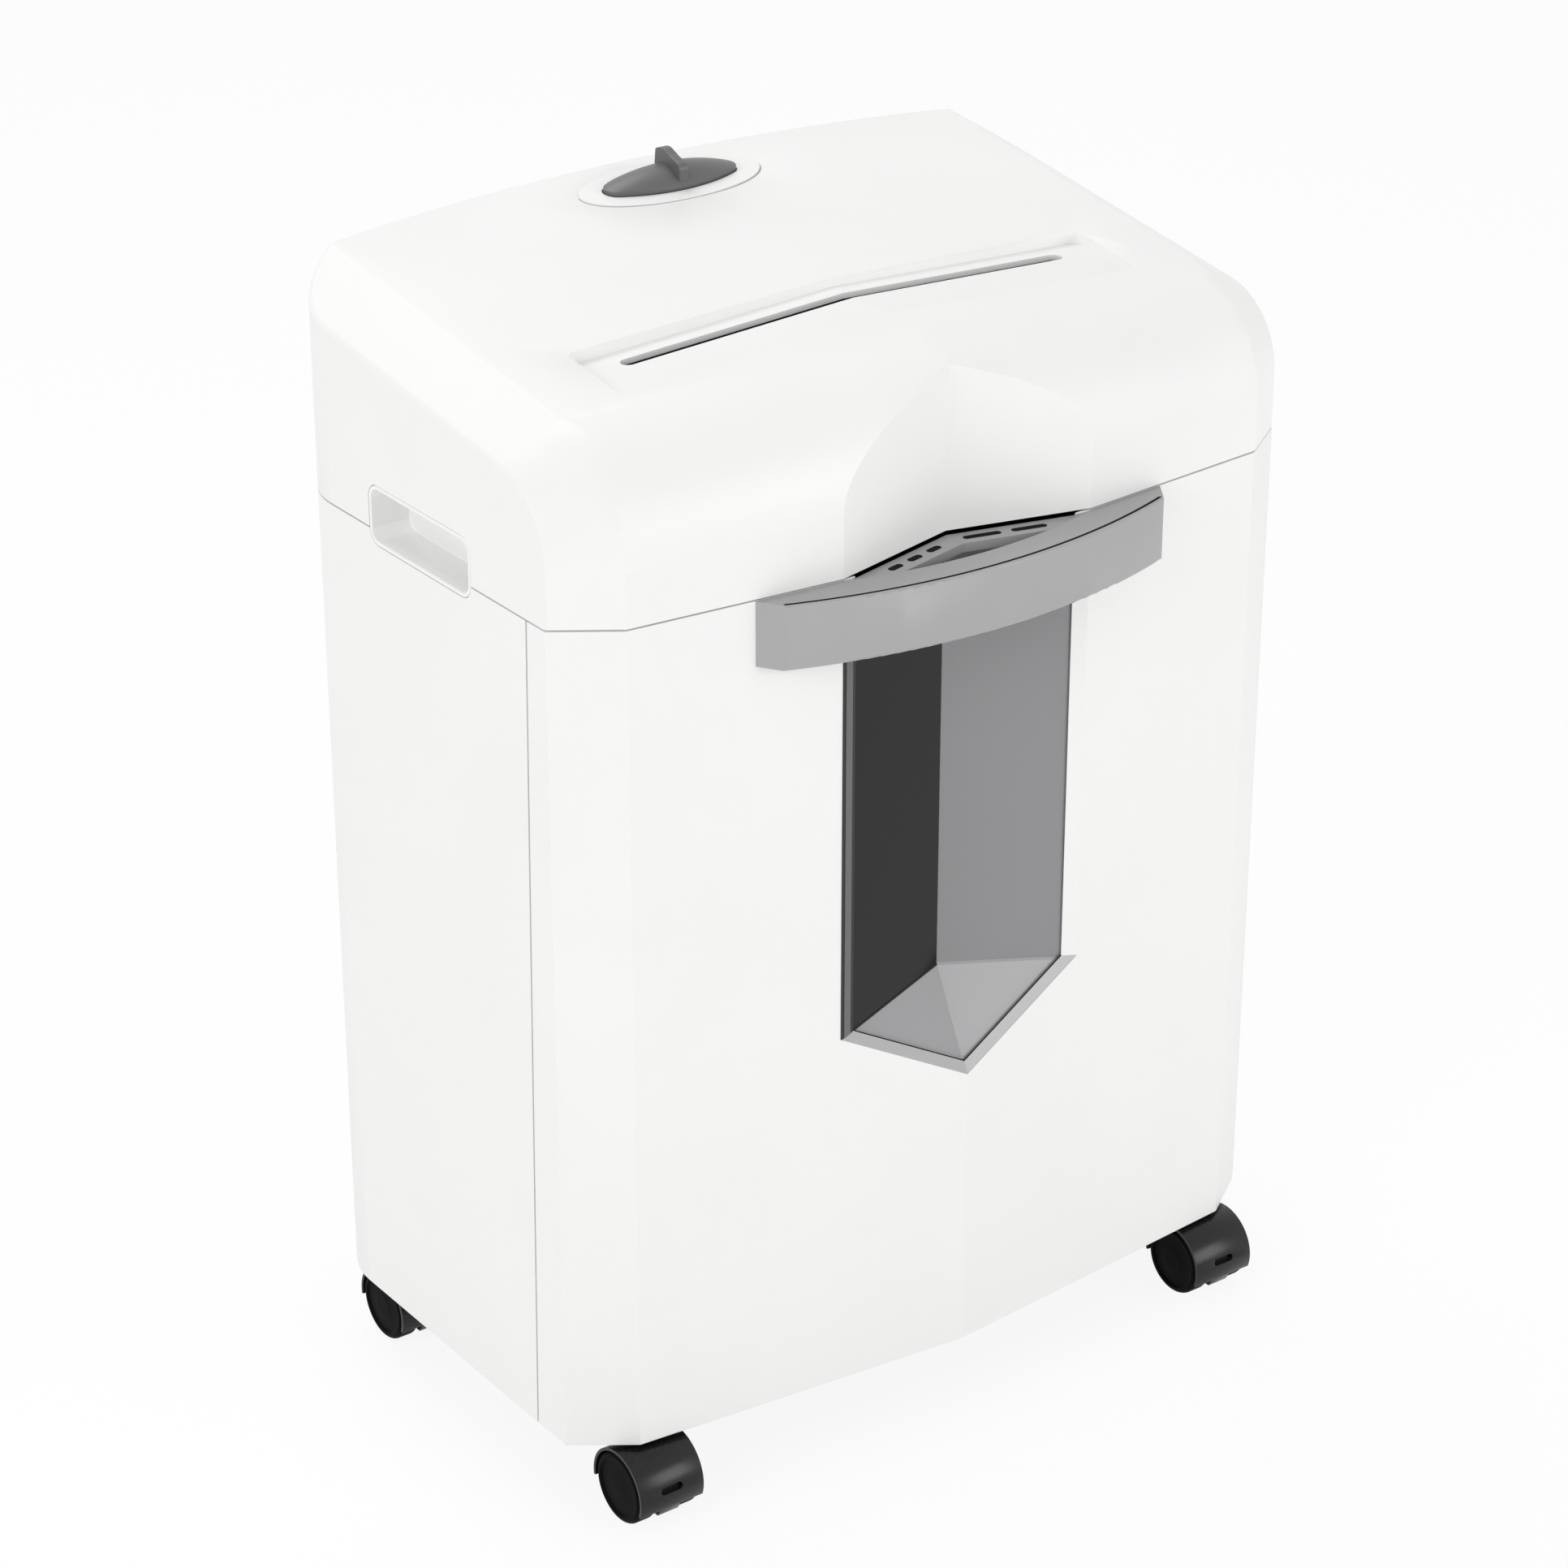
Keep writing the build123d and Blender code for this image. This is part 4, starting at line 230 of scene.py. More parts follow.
@dataclass(frozen=True)
class SmokedPlastic:
    """Tinted polycarbonate, dark and hazy with wipe marks; painted shade darkens the left wall, painted
    light brightens the right wall and the sill.
    """

    name: str
    left: str
    right: str
    sill: str
    clear: float
    roughness: float
    sill_mm: float = 214.4
    sill_fall: float = 0.1525
    wipe_mm: float = 45.0
    fold_mm: float = 0.4
    ior: float = 1.58
    gloss: float = 0.07
    wiped: float = 1.8

    def make(self) -> bpy.types.Material:
        """Makes the material, with the painted shade and painted light changing at the folds, and wipe
        marks in the sheen.
        """
        material, tree, shader = new_material(self.name)
        place = add_node(tree, "ShaderNodeTexCoord").outputs["Object"]
        axes = add_node(tree, "ShaderNodeSeparateXYZ", {"Vector": place}).outputs
        half = self.fold_mm * MM / 2
        side = add_node(
            tree, "ShaderNodeMapRange", {"Value": axes["X"], "From Min": -half, "From Max": half}
        )
        # The sill, painted lighter, lies below a line that falls away evenly from the middle to both sides.
        off = add_node(tree, "ShaderNodeMath", {0: axes["X"]}, operation="ABSOLUTE").outputs[0]
        level = add_node(
            tree, "ShaderNodeMath", {0: off, 1: self.sill_fall, 2: axes["Z"]}, operation="MULTIPLY_ADD"
        )
        line = self.sill_mm * MM
        wall = add_node(
            tree,
            "ShaderNodeMapRange",
            {"Value": level.outputs[0], "From Min": line - half, "From Max": line + half},
        )
        wipe = add_node(
            tree,
            "ShaderNodeTexNoise",
            {"Vector": place, "Scale": per_metre(self.wipe_mm), "Detail": 4.0, "Distortion": 0.6},
        )
        # Painted shade: the left wall darker than the right, though both are one moulding.
        tone = blend(tree, side.outputs["Result"], linear(self.left), linear(self.right))
        # Painted light: the sill paler than the walls, standing in for reflected light.
        whole = blend(tree, wall.outputs["Result"], linear(self.sill), tone)
        sheen = add_node(
            tree,
            "ShaderNodeMapRange",
            {"Value": wipe.outputs["Fac"], "To Min": self.roughness, "To Max": self.roughness * self.wiped},
        )
        tree.links.new(whole, shader.inputs["Base Color"])
        tree.links.new(sheen.outputs["Result"], shader.inputs["Roughness"])
        shader.inputs["Transmission Weight"].default_value = self.clear
        shader.inputs["IOR"].default_value = self.ior
        shader.inputs["Specular IOR Level"].default_value = self.gloss
        return material


@dataclass(frozen=True)
class WorkedMetal:
    """Bare or plated metal whose fine scratches follow how it was made."""

    name: str
    colour: str
    shade: str
    roughness: float
    lay: Lay
    scratch_mm: float = 0.8
    depth_mm: float = 0.02
    duller: float = 0.1
    shinier: float = 0.08
    bump: float = 0.4

    def make(self) -> bpy.types.Material:
        """Makes the material, with stretched scratches in sheen and bump."""
        material, tree, shader = new_material(self.name)
        place = add_node(tree, "ShaderNodeTexCoord").outputs["Object"]
        drawn = add_node(tree, "ShaderNodeMapping", {"Vector": place, "Scale": self.lay.value})
        scratch = add_node(
            tree,
            "ShaderNodeTexNoise",
            {
                "Vector": drawn.outputs["Vector"],
                "Scale": per_metre(self.scratch_mm),
                "Detail": 4.0,
                "Roughness": 0.7,
            },
        )
        tone = blend(tree, scratch.outputs["Fac"], linear(self.shade), linear(self.colour))
        sheen = add_node(
            tree,
            "ShaderNodeMapRange",
            {
                "Value": scratch.outputs["Fac"],
                "To Min": self.roughness - self.shinier,
                "To Max": self.roughness + self.duller,
            },
        )
        relief = add_node(
            tree,
            "ShaderNodeBump",
            {"Height": scratch.outputs["Fac"], "Distance": self.depth_mm * MM, "Strength": self.bump},
        )
        tree.links.new(tone, shader.inputs["Base Color"])
        tree.links.new(sheen.outputs["Result"], shader.inputs["Roughness"])
        tree.links.new(relief.outputs["Normal"], shader.inputs["Normal"])
        shader.inputs["Metallic"].default_value = 1.0
        return material


@dataclass(frozen=True)
class BandedStock:
    """Stacked laminations or wound wire: fine parallel bands across one direction."""

    name: str
    colour: str
    groove: str
    band_mm: float
    direction: str
    metallic: float
    roughness: float
    depth_mm: float = 0.15
    bump: float = 0.7

    def make(self) -> bpy.types.Material:
        """Makes the material, with the bands in colour and bump."""
        material, tree, shader = new_material(self.name)
        place = add_node(tree, "ShaderNodeTexCoord").outputs["Object"]
        band = add_node(
            tree,
            "ShaderNodeTexWave",
            {
                "Vector": place,
                "Scale": per_metre(self.band_mm) * tau / WAVE_RADIANS,
                "Distortion": 0.1,
            },
            bands_direction=self.direction,
        )
        tone = blend(tree, band.outputs["Fac"], linear(self.groove), linear(self.colour))
        relief = add_node(
            tree,
            "ShaderNodeBump",
            {"Height": band.outputs["Fac"], "Distance": self.depth_mm * MM, "Strength": self.bump},
        )
        tree.links.new(tone, shader.inputs["Base Color"])
        tree.links.new(relief.outputs["Normal"], shader.inputs["Normal"])
        shader.inputs["Metallic"].default_value = self.metallic
        shader.inputs["Roughness"].default_value = self.roughness
        return material


@dataclass(frozen=True)
class PrintedBoard:
    """Lacquered glass-fibre board with faint copper tracks under the lacquer."""

    name: str
    colour: str
    track: str
    track_mm: float
    roughness: float
    track_edge: tuple[float, float] = (0.45, 0.55)

    def make(self) -> bpy.types.Material:
        """Makes the material, with a maze of tracks."""
        material, tree, shader = new_material(self.name)
        place = add_node(tree, "ShaderNodeTexCoord").outputs["Object"]
        cells = add_node(
            tree,
            "ShaderNodeTexVoronoi",
            {"Vector": place, "Scale": per_metre(self.track_mm), "Randomness": 0.6},
            distance="MANHATTAN",
            feature="F1",
        )
        low, high = self.track_edge
        step = add_node(
            tree,
            "ShaderNodeMapRange",
            {"Value": cells.outputs["Distance"], "From Min": low, "From Max": high},
        )
        tone = blend(tree, step.outputs["Result"], linear(self.track), linear(self.colour))
        tree.links.new(tone, shader.inputs["Base Color"])
        shader.inputs["Roughness"].default_value = self.roughness
        return material


# White ABS with a spark-eroded skin: bright, with no sharp highlight.
CASE_WHITE = MouldedPlastic("abs_case_white", "#F4F4F3", "#F0F0EF", 0.46, Grain.SPARK_ERODED)
# The same resin in the cups and the seat, a little glossier where the tool was polished.
TRIM_WHITE = MouldedPlastic("abs_trim_white", "#F5F5F4", "#F1F1F0", 0.38, Grain.SATIN)
# Mid-grey satin ABS: reads as a flat grey with a soft bright rim.
HANDLE_GREY = MouldedPlastic("abs_handle_grey", "#A9A9A9", "#A2A2A2", 0.4, Grain.SATIN)
# Dark grey satin ABS of the rocker.
SWITCH_GREY = MouldedPlastic("abs_switch_grey", "#616161", "#5A5A5A", 0.4, Grain.SATIN)
# Carbon-black nylon of the caster hoods: near black, with a broad grey sheen.
HOOD_BLACK = MouldedPlastic("nylon_hood_black", "#141415", "#111112", 0.26, Grain.SATIN, gloss=0.3)
# The same nylon on the wheels, duller from rolling, and painted blacker than the hoods as shade under them.
WHEEL_SHADED_BLACK = MouldedPlastic("nylon_wheel_shaded_black", "#0A0A0B", "#080809", 0.5, Grain.SATIN, gloss=0.03)
# Grey polypropylene of the tub, waxy and plain.
TUB_GREY = MouldedPlastic("polypropylene_tub_grey", "#6C6C6D", "#646465", 0.5, Grain.COARSE)
# Deep shade in narrow slots and grooves, with next to no sheen.
SHADE_BLACK = MouldedPlastic("abs_shade_black", "#0C0C0C", "#0A0A0A", 0.7, Grain.COARSE, gloss=0.1)
# Painted shade in the hairline between two white mouldings.
HAIRLINE_SHADE_GREY = MouldedPlastic("painted_hairline_shade_grey", "#B0B0B0", "#AAAAAA", 0.7, Grain.COARSE, gloss=0.1)
# Black ABS of pieces that are hidden inside.
INNER_BLACK = MouldedPlastic("abs_inner_black", "#1E1E1F", "#19191A", 0.5, Grain.COARSE)
# Natural nylon of the reduction gear, ivory and slightly glossy.
GEAR_NYLON = MouldedPlastic("nylon_gear_natural", "#E6E1D2", "#DDD7C6", 0.4, Grain.SATIN, 25.0)
# Edge of the smoked moulding, where light gathers and turns it a paler grey.
LIP_GREY = MouldedPlastic("polycarbonate_lip_grey", "#B2B2B3", "#ACACAD", 0.3, Grain.SATIN)
# Smoked polycarbonate of the bin window, with painted shade on the left wall and painted light on the right
# wall and the sill.
WINDOW_SMOKE_PAINTED_LIGHT = SmokedPlastic("polycarbonate_window_smoke_painted_light", "#0E0E0F", "#A6A6A8", "#BCBCBE", 0.3, 0.1)
# Dark flange of the same moulding, ribbed where the panel grips it.
BORDER_SMOKE = MouldedPlastic(
    "polycarbonate_border_smoke", "#222223", "#1E1E1F", 0.35, Grain.SATIN, gloss=0.3
)
# Raised rib in the flange, painted lighter as a highlight.
RIB_PAINTED_HIGHLIGHT = MouldedPlastic(
    "polycarbonate_rib_painted_highlight", "#6A6A6B", "#646465", 0.35, Grain.SATIN, gloss=0.3
)
# Ground and turned steel of shafts, discs and fasteners.
CUTTER_STEEL = WorkedMetal("ground_steel", "#B9BCC0", "#9EA1A6", 0.32, Lay.TURNED)
# Zinc-plated sheet of the plates and brackets.
PLATE_ZINC = WorkedMetal("zinc_plated_sheet", "#C4C6C6", "#AEB1B2", 0.4, Lay.ROLLED, 1.6)
# Sintered bronze of the bushes.
BUSH_BRONZE = WorkedMetal("sintered_bronze", "#B98D4E", "#9C743C", 0.45, Lay.SINTERED)
# Lacquered stack of stator sheets, drawn at twice the real sheet thickness so that it shows.
STATOR_STACK = BandedStock("stator_laminations", "#4C4E51", "#2C2D2F", 1.0, "X", 0.8, 0.5)
# Enamelled copper wire of the field coils.
COIL_COPPER = BandedStock("enamelled_copper", "#A85A2E", "#6A3418", 0.9, "Y", 0.7, 0.35)
# Green lacquered board.
BOARD_GREEN = PrintedBoard("printed_board", "#1F6B3C", "#3E8C52", 5.0, 0.35)


class Workshop:
    """Makes each material once, and turns shapes into pieces that ride on a body."""

    def __init__(self) -> None:
        """Starts with no material made."""
        self.made: dict[str, bpy.types.Material] = {}

    def paint(self, piece: bpy.types.Object, finish: Finish) -> None:
        """Gives a piece one finish all over.

        Args:
            piece: CAD node or new piece.
            finish: Finish to give it.
        """
        if finish.name not in self.made:
            self.made[finish.name] = finish.make()
        piece.data.materials.clear()
        piece.data.materials.append(self.made[finish.name])
        LOG.info("%s: %s", piece.name, finish.name)

    def piece(
        self, name: str, shape: bmesh.types.BMesh, body: str, slot: str, finish: Finish
    ) -> bpy.types.Object:
        """Turns a shape into a piece.

        Args:
            name: Name of the piece.
            shape: Its mesh in metres, in place; it is freed.
            body: CAD body that it rides on.
            slot: Material slot of the record; not used.
            finish: Finish to give it.

        Returns:
            The piece.
        """
        mesh = bpy.data.meshes.new(name)
        shape.to_mesh(mesh)
        shape.free()
        made = bpy.data.objects.new(name, mesh)
        bpy.context.scene.collection.objects.link(made)
        self.paint(made, finish)
        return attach(made, body)

    def soften(self, node: bpy.types.Object, radius_mm: float, segments: int, sharp_deg: float) -> None:
        """Rounds the sharp edges of a CAD node with modifiers.

        Args:
            node: CAD node to finish.
            radius_mm: Radius of the rounded edge in millimetres.
            segments: Facets across the rounded edge.
            sharp_deg: Smallest angle between faces that counts as an edge.
        """
        weld = node.modifiers.new("weld", "WELD")
        weld.merge_threshold = WELD_MM * MM
        merge = node.modifiers.new("flat_faces", "DECIMATE")
        merge.decimate_type = "DISSOLVE"
        merge.angle_limit = radians(FLAT_DEG)
        bevel = node.modifiers.new("edge", "BEVEL")
        bevel.width = radius_mm * MM
        bevel.segments = segments
        bevel.limit_method = "ANGLE"
        bevel.angle_limit = radians(sharp_deg)
        bevel.profile = 0.5
        bevel.use_clamp_overlap = True


@dataclass
class SubAssembly:
    """Group of CAD nodes with their finishes, edge radii in millimetres and added pieces."""

    edge_segments: int = 2
    sharp_deg: float = 28.0

    def finishes(self) -> dict[str, Finish]:
        """Lists the group's nodes with their finishes."""
        raise NotImplementedError

    def edges_mm(self) -> dict[str, float]:
        """Lists the nodes whose edges are rounded, with the radius."""
        return {}

    def build(self, shop: Workshop) -> None:
        """Adds the group's own pieces; most groups have none."""

    def dress(self, shop: Workshop) -> None:
        """Gives every node its finish and rounds the edges of those in view.

        Args:
            shop: Maker of materials and pieces.
        """
        for name, finish in self.finishes().items():
            shop.paint(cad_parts[name], finish)
        for name, radius in self.edges_mm().items():
            shop.soften(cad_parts[name], radius, self.edge_segments, self.sharp_deg)


@dataclass
class Case(SubAssembly):
    """White mouldings of the head and the cabinet, with what closes them below."""

    edge: float = 0.6
    cup_edge: float = 0.4

    def finishes(self) -> dict[str, Finish]:
        """Lists the case's nodes with their finishes."""
        return {
            "head_cover": CASE_WHITE,
            "cabinet": CASE_WHITE,
            "grip_cups": TRIM_WHITE,
            "head_base": INNER_BLACK,
            "base_plate": INNER_BLACK,
            "head_screws": CUTTER_STEEL,
        }

    def edges_mm(self) -> dict[str, float]:
        """Lists the nodes whose edges are rounded, with the radius."""
        return {"head_cover": self.edge, "cabinet": self.edge, "grip_cups": self.cup_edge}


@dataclass
class WasteBin(SubAssembly):
    """Pull-out bin: white front, smoked window with its lip, grey handle and tub."""

    edge: float = 0.6
    handle_edge: float = 0.6
    window_edge: float = 0.25
    notch_half: float = 63.6
    notch_depth: float = 15.9
    ridge_y: float = -115.0
    front_slope: float = 15.0 / 161.5
    sill_side_z: float = 206.0
    sill_apex_z: float = 171.0
    sill_valley_z: float = 215.7
    join_mm: float = 0.01
    lip_width: float = 4.7
    lip_thick: float = 0.6
    lip_shade_line_width: float = 0.6
    shade_line_thick: float = 0.5
    border_width: float = 7.3
    border_thick: float = 0.5
    border_rib: tuple[float, float] = (1.5, 5.4)
    rib_thick: float = 0.7
    border_top_z: float = 408.0
    strip_top_z: float = 413.6
    strip_middle: float = 5.65
    slot_width: float = 3.4
    slot_steps: int = 24
    slot_shade_drop: float = -0.04
    slot_shade_thick: float = 3.0
    slots: tuple[tuple[float, float], ...] = field(
        default=((12.0, 17.0), (32.5, 16.0), (-13.0, 8.0), (-25.0, 8.0), (-37.0, 8.0))
    )
    bar_top_z: float = 414.6
    bar_half: float = 96.7
    bar_end_y: float = -116.6
    bar_bow: float = 16.9
    groove_set: float = 1.3
    groove_width: float = 1.4
    groove_drop: float = -0.04
    groove_thick: float = 0.6
    groove_steps: int = 48

    def finishes(self) -> dict[str, Finish]:
        """Lists the bin's nodes with their finishes."""
        return {
            "bin_front": CASE_WHITE,
            "bin_tub": TUB_GREY,
            "bin_window": WINDOW_SMOKE_PAINTED_LIGHT,
            "bin_handle": HANDLE_GREY,
            "bin_screws": CUTTER_STEEL,
        }

    def edges_mm(self) -> dict[str, float]:
        """Lists the nodes whose edges are rounded, with the radius."""
        return {"bin_front": self.edge, "bin_handle": self.handle_edge, "bin_window": self.window_edge}

    def front_y(self, x: float) -> float:
        """Gives the front face of the panel at a place across it, in millimetres."""
        return self.ridge_y + self.front_slope * abs(x)

    def build(self, shop: Workshop) -> None:
        """Adds the window's lip with a painted shadow line, the left border with a painted highlight rib,
        and painted shade in the handle's slots and groove.

        Args:
            shop: Maker of materials and pieces.
        """
        lip = self.sill_strip(0.0, self.lip_width, self.lip_thick)
        shop.piece("window_lip", lip, "bin", "smoked_pane", LIP_GREY)
        # Painted shadow: a dark line along the inner edge of the lip, where its step casts shade.
        shade_line = self.sill_strip(self.lip_width, self.lip_shade_line_width, self.shade_line_thick)
        shop.piece("window_lip_painted_shade_line", shade_line, "bin", "inner_black", SHADE_BLACK)
        border = self.border_strip(0.0, self.border_width, self.border_thick)
        shop.piece("window_border", border, "bin", "smoked_pane", BORDER_SMOKE)
        start, end = self.border_rib
        rib = self.border_strip(start, end - start, self.rib_thick)
        # The rib's lighter colour is a painted highlight on the flange.
        shop.piece("window_border_rib", rib, "bin", "smoked_pane", RIB_PAINTED_HIGHLIGHT)
        # Painted shade: dark plates under the slots and a dark strip in the groove of the handle.
        shop.piece("handle_slot_painted_shade", self.slot_shade_plates(), "bin", "inner_black", SHADE_BLACK)
        shop.piece("handle_groove_painted_shade", self.groove_shade_strip(), "bin", "inner_black", SHADE_BLACK)

    def sill_strip(self, start: float, width: float, thick: float) -> bmesh.types.BMesh:
        """Shapes a thin strip along both sloping edges of the sill.

        Args:
            start: How far in from the edge the strip begins, in millimetres.
            width: Width of the strip in millimetres.
            thick: Thickness of the strip in millimetres.

        Returns:
            The strip in metres.
        """
        shape = bmesh.new()
        valley_y = self.front_y(self.notch_half) + self.notch_depth
        valley = Vector((0, valley_y, self.sill_valley_z)) * MM
        apex = Vector((0, self.front_y(0), self.sill_apex_z)) * MM
        for side in (-1, 1):
            end = Vector((side * self.notch_half, self.front_y(self.notch_half), self.sill_side_z)) * MM
            along = (end - apex).normalized()
            inward = valley - apex
            inward = (inward - along * inward.dot(along)).normalized()
            fold = (valley - apex).normalized()
            fold = fold / fold.dot(inward)
            near, far = start * MM, (start + width) * MM
            corners = [apex + fold * near, end + inward * near, end + inward * far, apex + fold * far]
            face = shape.faces.new([shape.verts.new(c) for c in corners])
            face.normal_update()
            if face.normal.z < 0:
                face.normal_flip()
        bmesh.ops.remove_doubles(shape, verts=shape.verts, dist=self.join_mm * MM)
        lifted = bmesh.ops.extrude_face_region(shape, geom=shape.faces[:], use_keep_orig=True)
        up = Vector((0, 0, thick * MM))
        bmesh.ops.translate(shape, verts=points(lifted["geom"]), vec=up)
        bmesh.ops.recalc_face_normals(shape, faces=shape.faces)
        return shape

    def border_strip(self, start: float, width: float, thick: float) -> bmesh.types.BMesh:
        """Shapes an upright strip on the left wall of the window recess.

        Args:
            start: Place of its left edge, from the wall's front edge, in millimetres.
            width: Width of the strip across the case in millimetres.
            thick: Thickness of the strip in millimetres.

        Returns:
            The strip in metres.
        """
        shape = bmesh.new()
        slope = self.notch_depth / self.notch_half
        rise = (self.sill_valley_z - self.sill_side_z) / self.notch_half
        along = Vector((1.0, slope, rise))
        near = Vector((-self.notch_half, self.front_y(self.notch_half), self.sill_side_z)) + along * start
        far = near + along * width
        tall = [Vector((p.x, p.y, self.border_top_z)) for p in (far, near)]
        face = shape.faces.new([shape.verts.new(p * MM) for p in (near, far, *tall)])
        raised = bmesh.ops.extrude_face_region(shape, geom=[face], use_keep_orig=True)["geom"]
        out = Vector((slope, -1.0, 0.0)).normalized() * thick * MM
        bmesh.ops.translate(shape, verts=points(raised), vec=out)
        bmesh.ops.recalc_face_normals(shape, faces=shape.faces)
        return shape

    def slot_shade_plates(self) -> bmesh.types.BMesh:
        """Shapes painted shade: dark plates just below the slots of the V-strip.

        Returns:
            One rounded plate for each slot, in metres.
        """
        shape = bmesh.new()
        slope = self.notch_depth / self.notch_half
        valley_y = self.front_y(self.notch_half) + self.notch_depth
        radius = self.slot_width / 2 * MM
        for x, length in self.slots:
            disc = bmesh.ops.create_circle(
                shape, cap_ends=True, segments=self.slot_steps, radius=radius
            )
            ring = disc["verts"]
            for end in (-1, 1):
                half = [v for v in ring if v.co.x * end > self.join_mm * MM]
                bmesh.ops.translate(shape, verts=half, vec=(end * (length * MM / 2 - radius), 0, 0))
            plate = {f for v in ring for f in v.link_faces}
            sunk = bmesh.ops.extrude_face_region(shape, geom=list(plate), use_keep_orig=True)["geom"]
            low = points(sunk)
            bmesh.ops.translate(shape, verts=low, vec=(0, 0, -self.slot_shade_thick * MM))
            y = valley_y - slope * abs(x) - self.strip_middle * hypot(1, slope)
            turn = Matrix.Rotation(-atan2(slope, 1) if x > 0 else atan2(slope, 1), 4, "Z")
            spot = Matrix.Translation(Vector((x, y, self.strip_top_z - self.slot_shade_drop)) * MM)
            bmesh.ops.transform(shape, matrix=spot @ turn, verts=ring + low)
        bmesh.ops.recalc_face_normals(shape, faces=shape.faces)
        return shape

    def groove_shade_strip(self) -> bmesh.types.BMesh:
        """Shapes painted shade: a dark strip filling the groove along the bar's top.

        Returns:
            A thin bowed strip in metres.
        """
        shape = bmesh.new()
        radius = (self.bar_half**2 + self.bar_bow**2) / (2 * self.bar_bow)
        near = self.bar_end_y + self.groove_set
        top = self.bar_top_z - self.groove_drop
        section = (
            (near, top),
            (near + self.groove_width, top),
            (near + self.groove_width, top - self.groove_thick),
            (near, top - self.groove_thick),
        )
        corners = [shape.verts.new(Vector((-self.bar_half, y, z)) * MM) for y, z in section]
        end = shape.faces.new(corners)
        centre = Vector((0, near - self.bar_bow + radius, 0)) * MM
        bmesh.ops.spin(
            shape,
            geom=[end],
            cent=centre,
            axis=(0, 0, 1),
            angle=2 * asin(self.bar_half / radius),
            steps=self.groove_steps,
            use_duplicate=False,
        )
        bmesh.ops.recalc_face_normals(shape, faces=shape.faces)
        return shape


@dataclass
class SwitchSet(SubAssembly):
    """Oval seat, rocker with its thumb fin, and the switch block under them."""

    seat_edge: float = 0.3
    rocker_edge: float = 0.6
    seat_y: float = 103.0
    seat_z: float = 512.7
    deck_slope: float = 0.0981
    deck_fall: float = 0.0079
    seam_half: tuple[float, float] = (45.6, 20.1)
    shade_line_width: float = 0.5
    shade_line_thick: float = 0.4
    seam_lift: float = 0.05
    seam_steps: int = 96
    blade_thick: float = 4.7
    blade_edge: float = 0.7
    blade_segments: int = 3
    blade_side: tuple[tuple[float, float], ...] = (
        (9.3, 2.0),
        (9.2, 12.3),
        (5.1, 13.7),
        (-9.0, 11.2),
        (-10.4, 9.4),
        (-10.4, 2.0),
    )

    def build(self, shop: Workshop) -> None:
        """Adds the blade of the thumb fin and a painted shade line round the seat.

        Args:
            shop: Maker of materials and pieces.
        """
        shop.piece("rocker_blade", self.blade(), "rocker", "switch_grey", SWITCH_GREY)
        shop.piece("seat_painted_shade_line", self.shade_line(), "housing", "inner_black", HAIRLINE_SHADE_GREY)

    def on_deck(self, x: float, y: float, z: float) -> Vector:
        """Turns a place on the sloping deck under the switch into a place in metres.

        Args:
            x: Distance to the right of the switch in millimetres.
            y: Distance behind the switch, along the deck, in millimetres.
            z: Height above the deck in millimetres.

        Returns:
            The place in metres.
        """
        long = hypot(1, self.deck_slope)
        back = self.seat_y + (y - z * self.deck_slope) / long
        up = self.seat_z + (y * self.deck_slope + z) / long
        return Vector((x, back, up)) * MM

    def blade(self) -> bmesh.types.BMesh:
        """Shapes the blade that runs across the rocker from its rear to its front edge.

        Returns:
            A plate with rounded edges, in metres.
        """
        shape = bmesh.new()
        half = self.blade_thick / 2
        side = shape.faces.new([shape.verts.new(self.on_deck(-half, y, z)) for y, z in self.blade_side])
        across = bmesh.ops.extrude_face_region(shape, geom=[side], use_keep_orig=True)["geom"]
        bmesh.ops.translate(shape, verts=points(across), vec=(self.blade_thick * MM, 0, 0))
        bmesh.ops.recalc_face_normals(shape, faces=shape.faces)
        bmesh.ops.bevel(
            shape,
            geom=shape.edges[:],
            offset=self.blade_edge * MM,
            affect="EDGES",
            segments=self.blade_segments,
            profile=0.5,
            material=-1,
        )
        return shape

    def shade_line(self) -> bmesh.types.BMesh:
        """Shapes painted shade: the fine dark line where the oval seat meets the deck.

        Returns:
            A thin flat ring in metres.
        """
        shape = bmesh.new()
        long, short = self.seam_half
        rings = []
        for grow, lift in ((0.0, 1.0), (self.shade_line_width, 1.0), (self.shade_line_width, 0.0), (0.0, 0.0)):
            ring = []
            for step in range(self.seam_steps):
                turn = tau * step / self.seam_steps
                x, y = (long + grow) * cos(turn), (short + grow) * sin(turn)
                low = self.seam_lift - self.deck_fall * abs(x) - self.shade_line_thick * (1.0 - lift)
                ring.append(shape.verts.new(self.on_deck(x, y, low)))
            rings.append(ring)
        for ring, beside in zip(rings, rings[1:] + rings[:1]):
            for i in range(self.seam_steps):
                j = (i + 1) % self.seam_steps
                shape.faces.new((ring[i], ring[j], beside[j], beside[i]))
        bmesh.ops.recalc_face_normals(shape, faces=shape.faces)
        return shape

    def finishes(self) -> dict[str, Finish]:
        """Lists the switch's nodes with their finishes."""
        return {"switch_seat": TRIM_WHITE, "switch_rocker": SWITCH_GREY, "switch_block": INNER_BLACK}

    def edges_mm(self) -> dict[str, float]:
        """Lists the nodes whose edges are rounded, with the radius."""
        return {"switch_seat": self.seat_edge, "switch_rocker": self.rocker_edge}


@dataclass
class PaperPath(SubAssembly):
    """Throat, sensors and stripper combs between the slot and the bin."""

    def finishes(self) -> dict[str, Finish]:
        """Lists the paper path's nodes with their finishes."""
        return {name: INNER_BLACK for name in ("paper_throat", "paper_sensors", "front_comb", "rear_comb")}


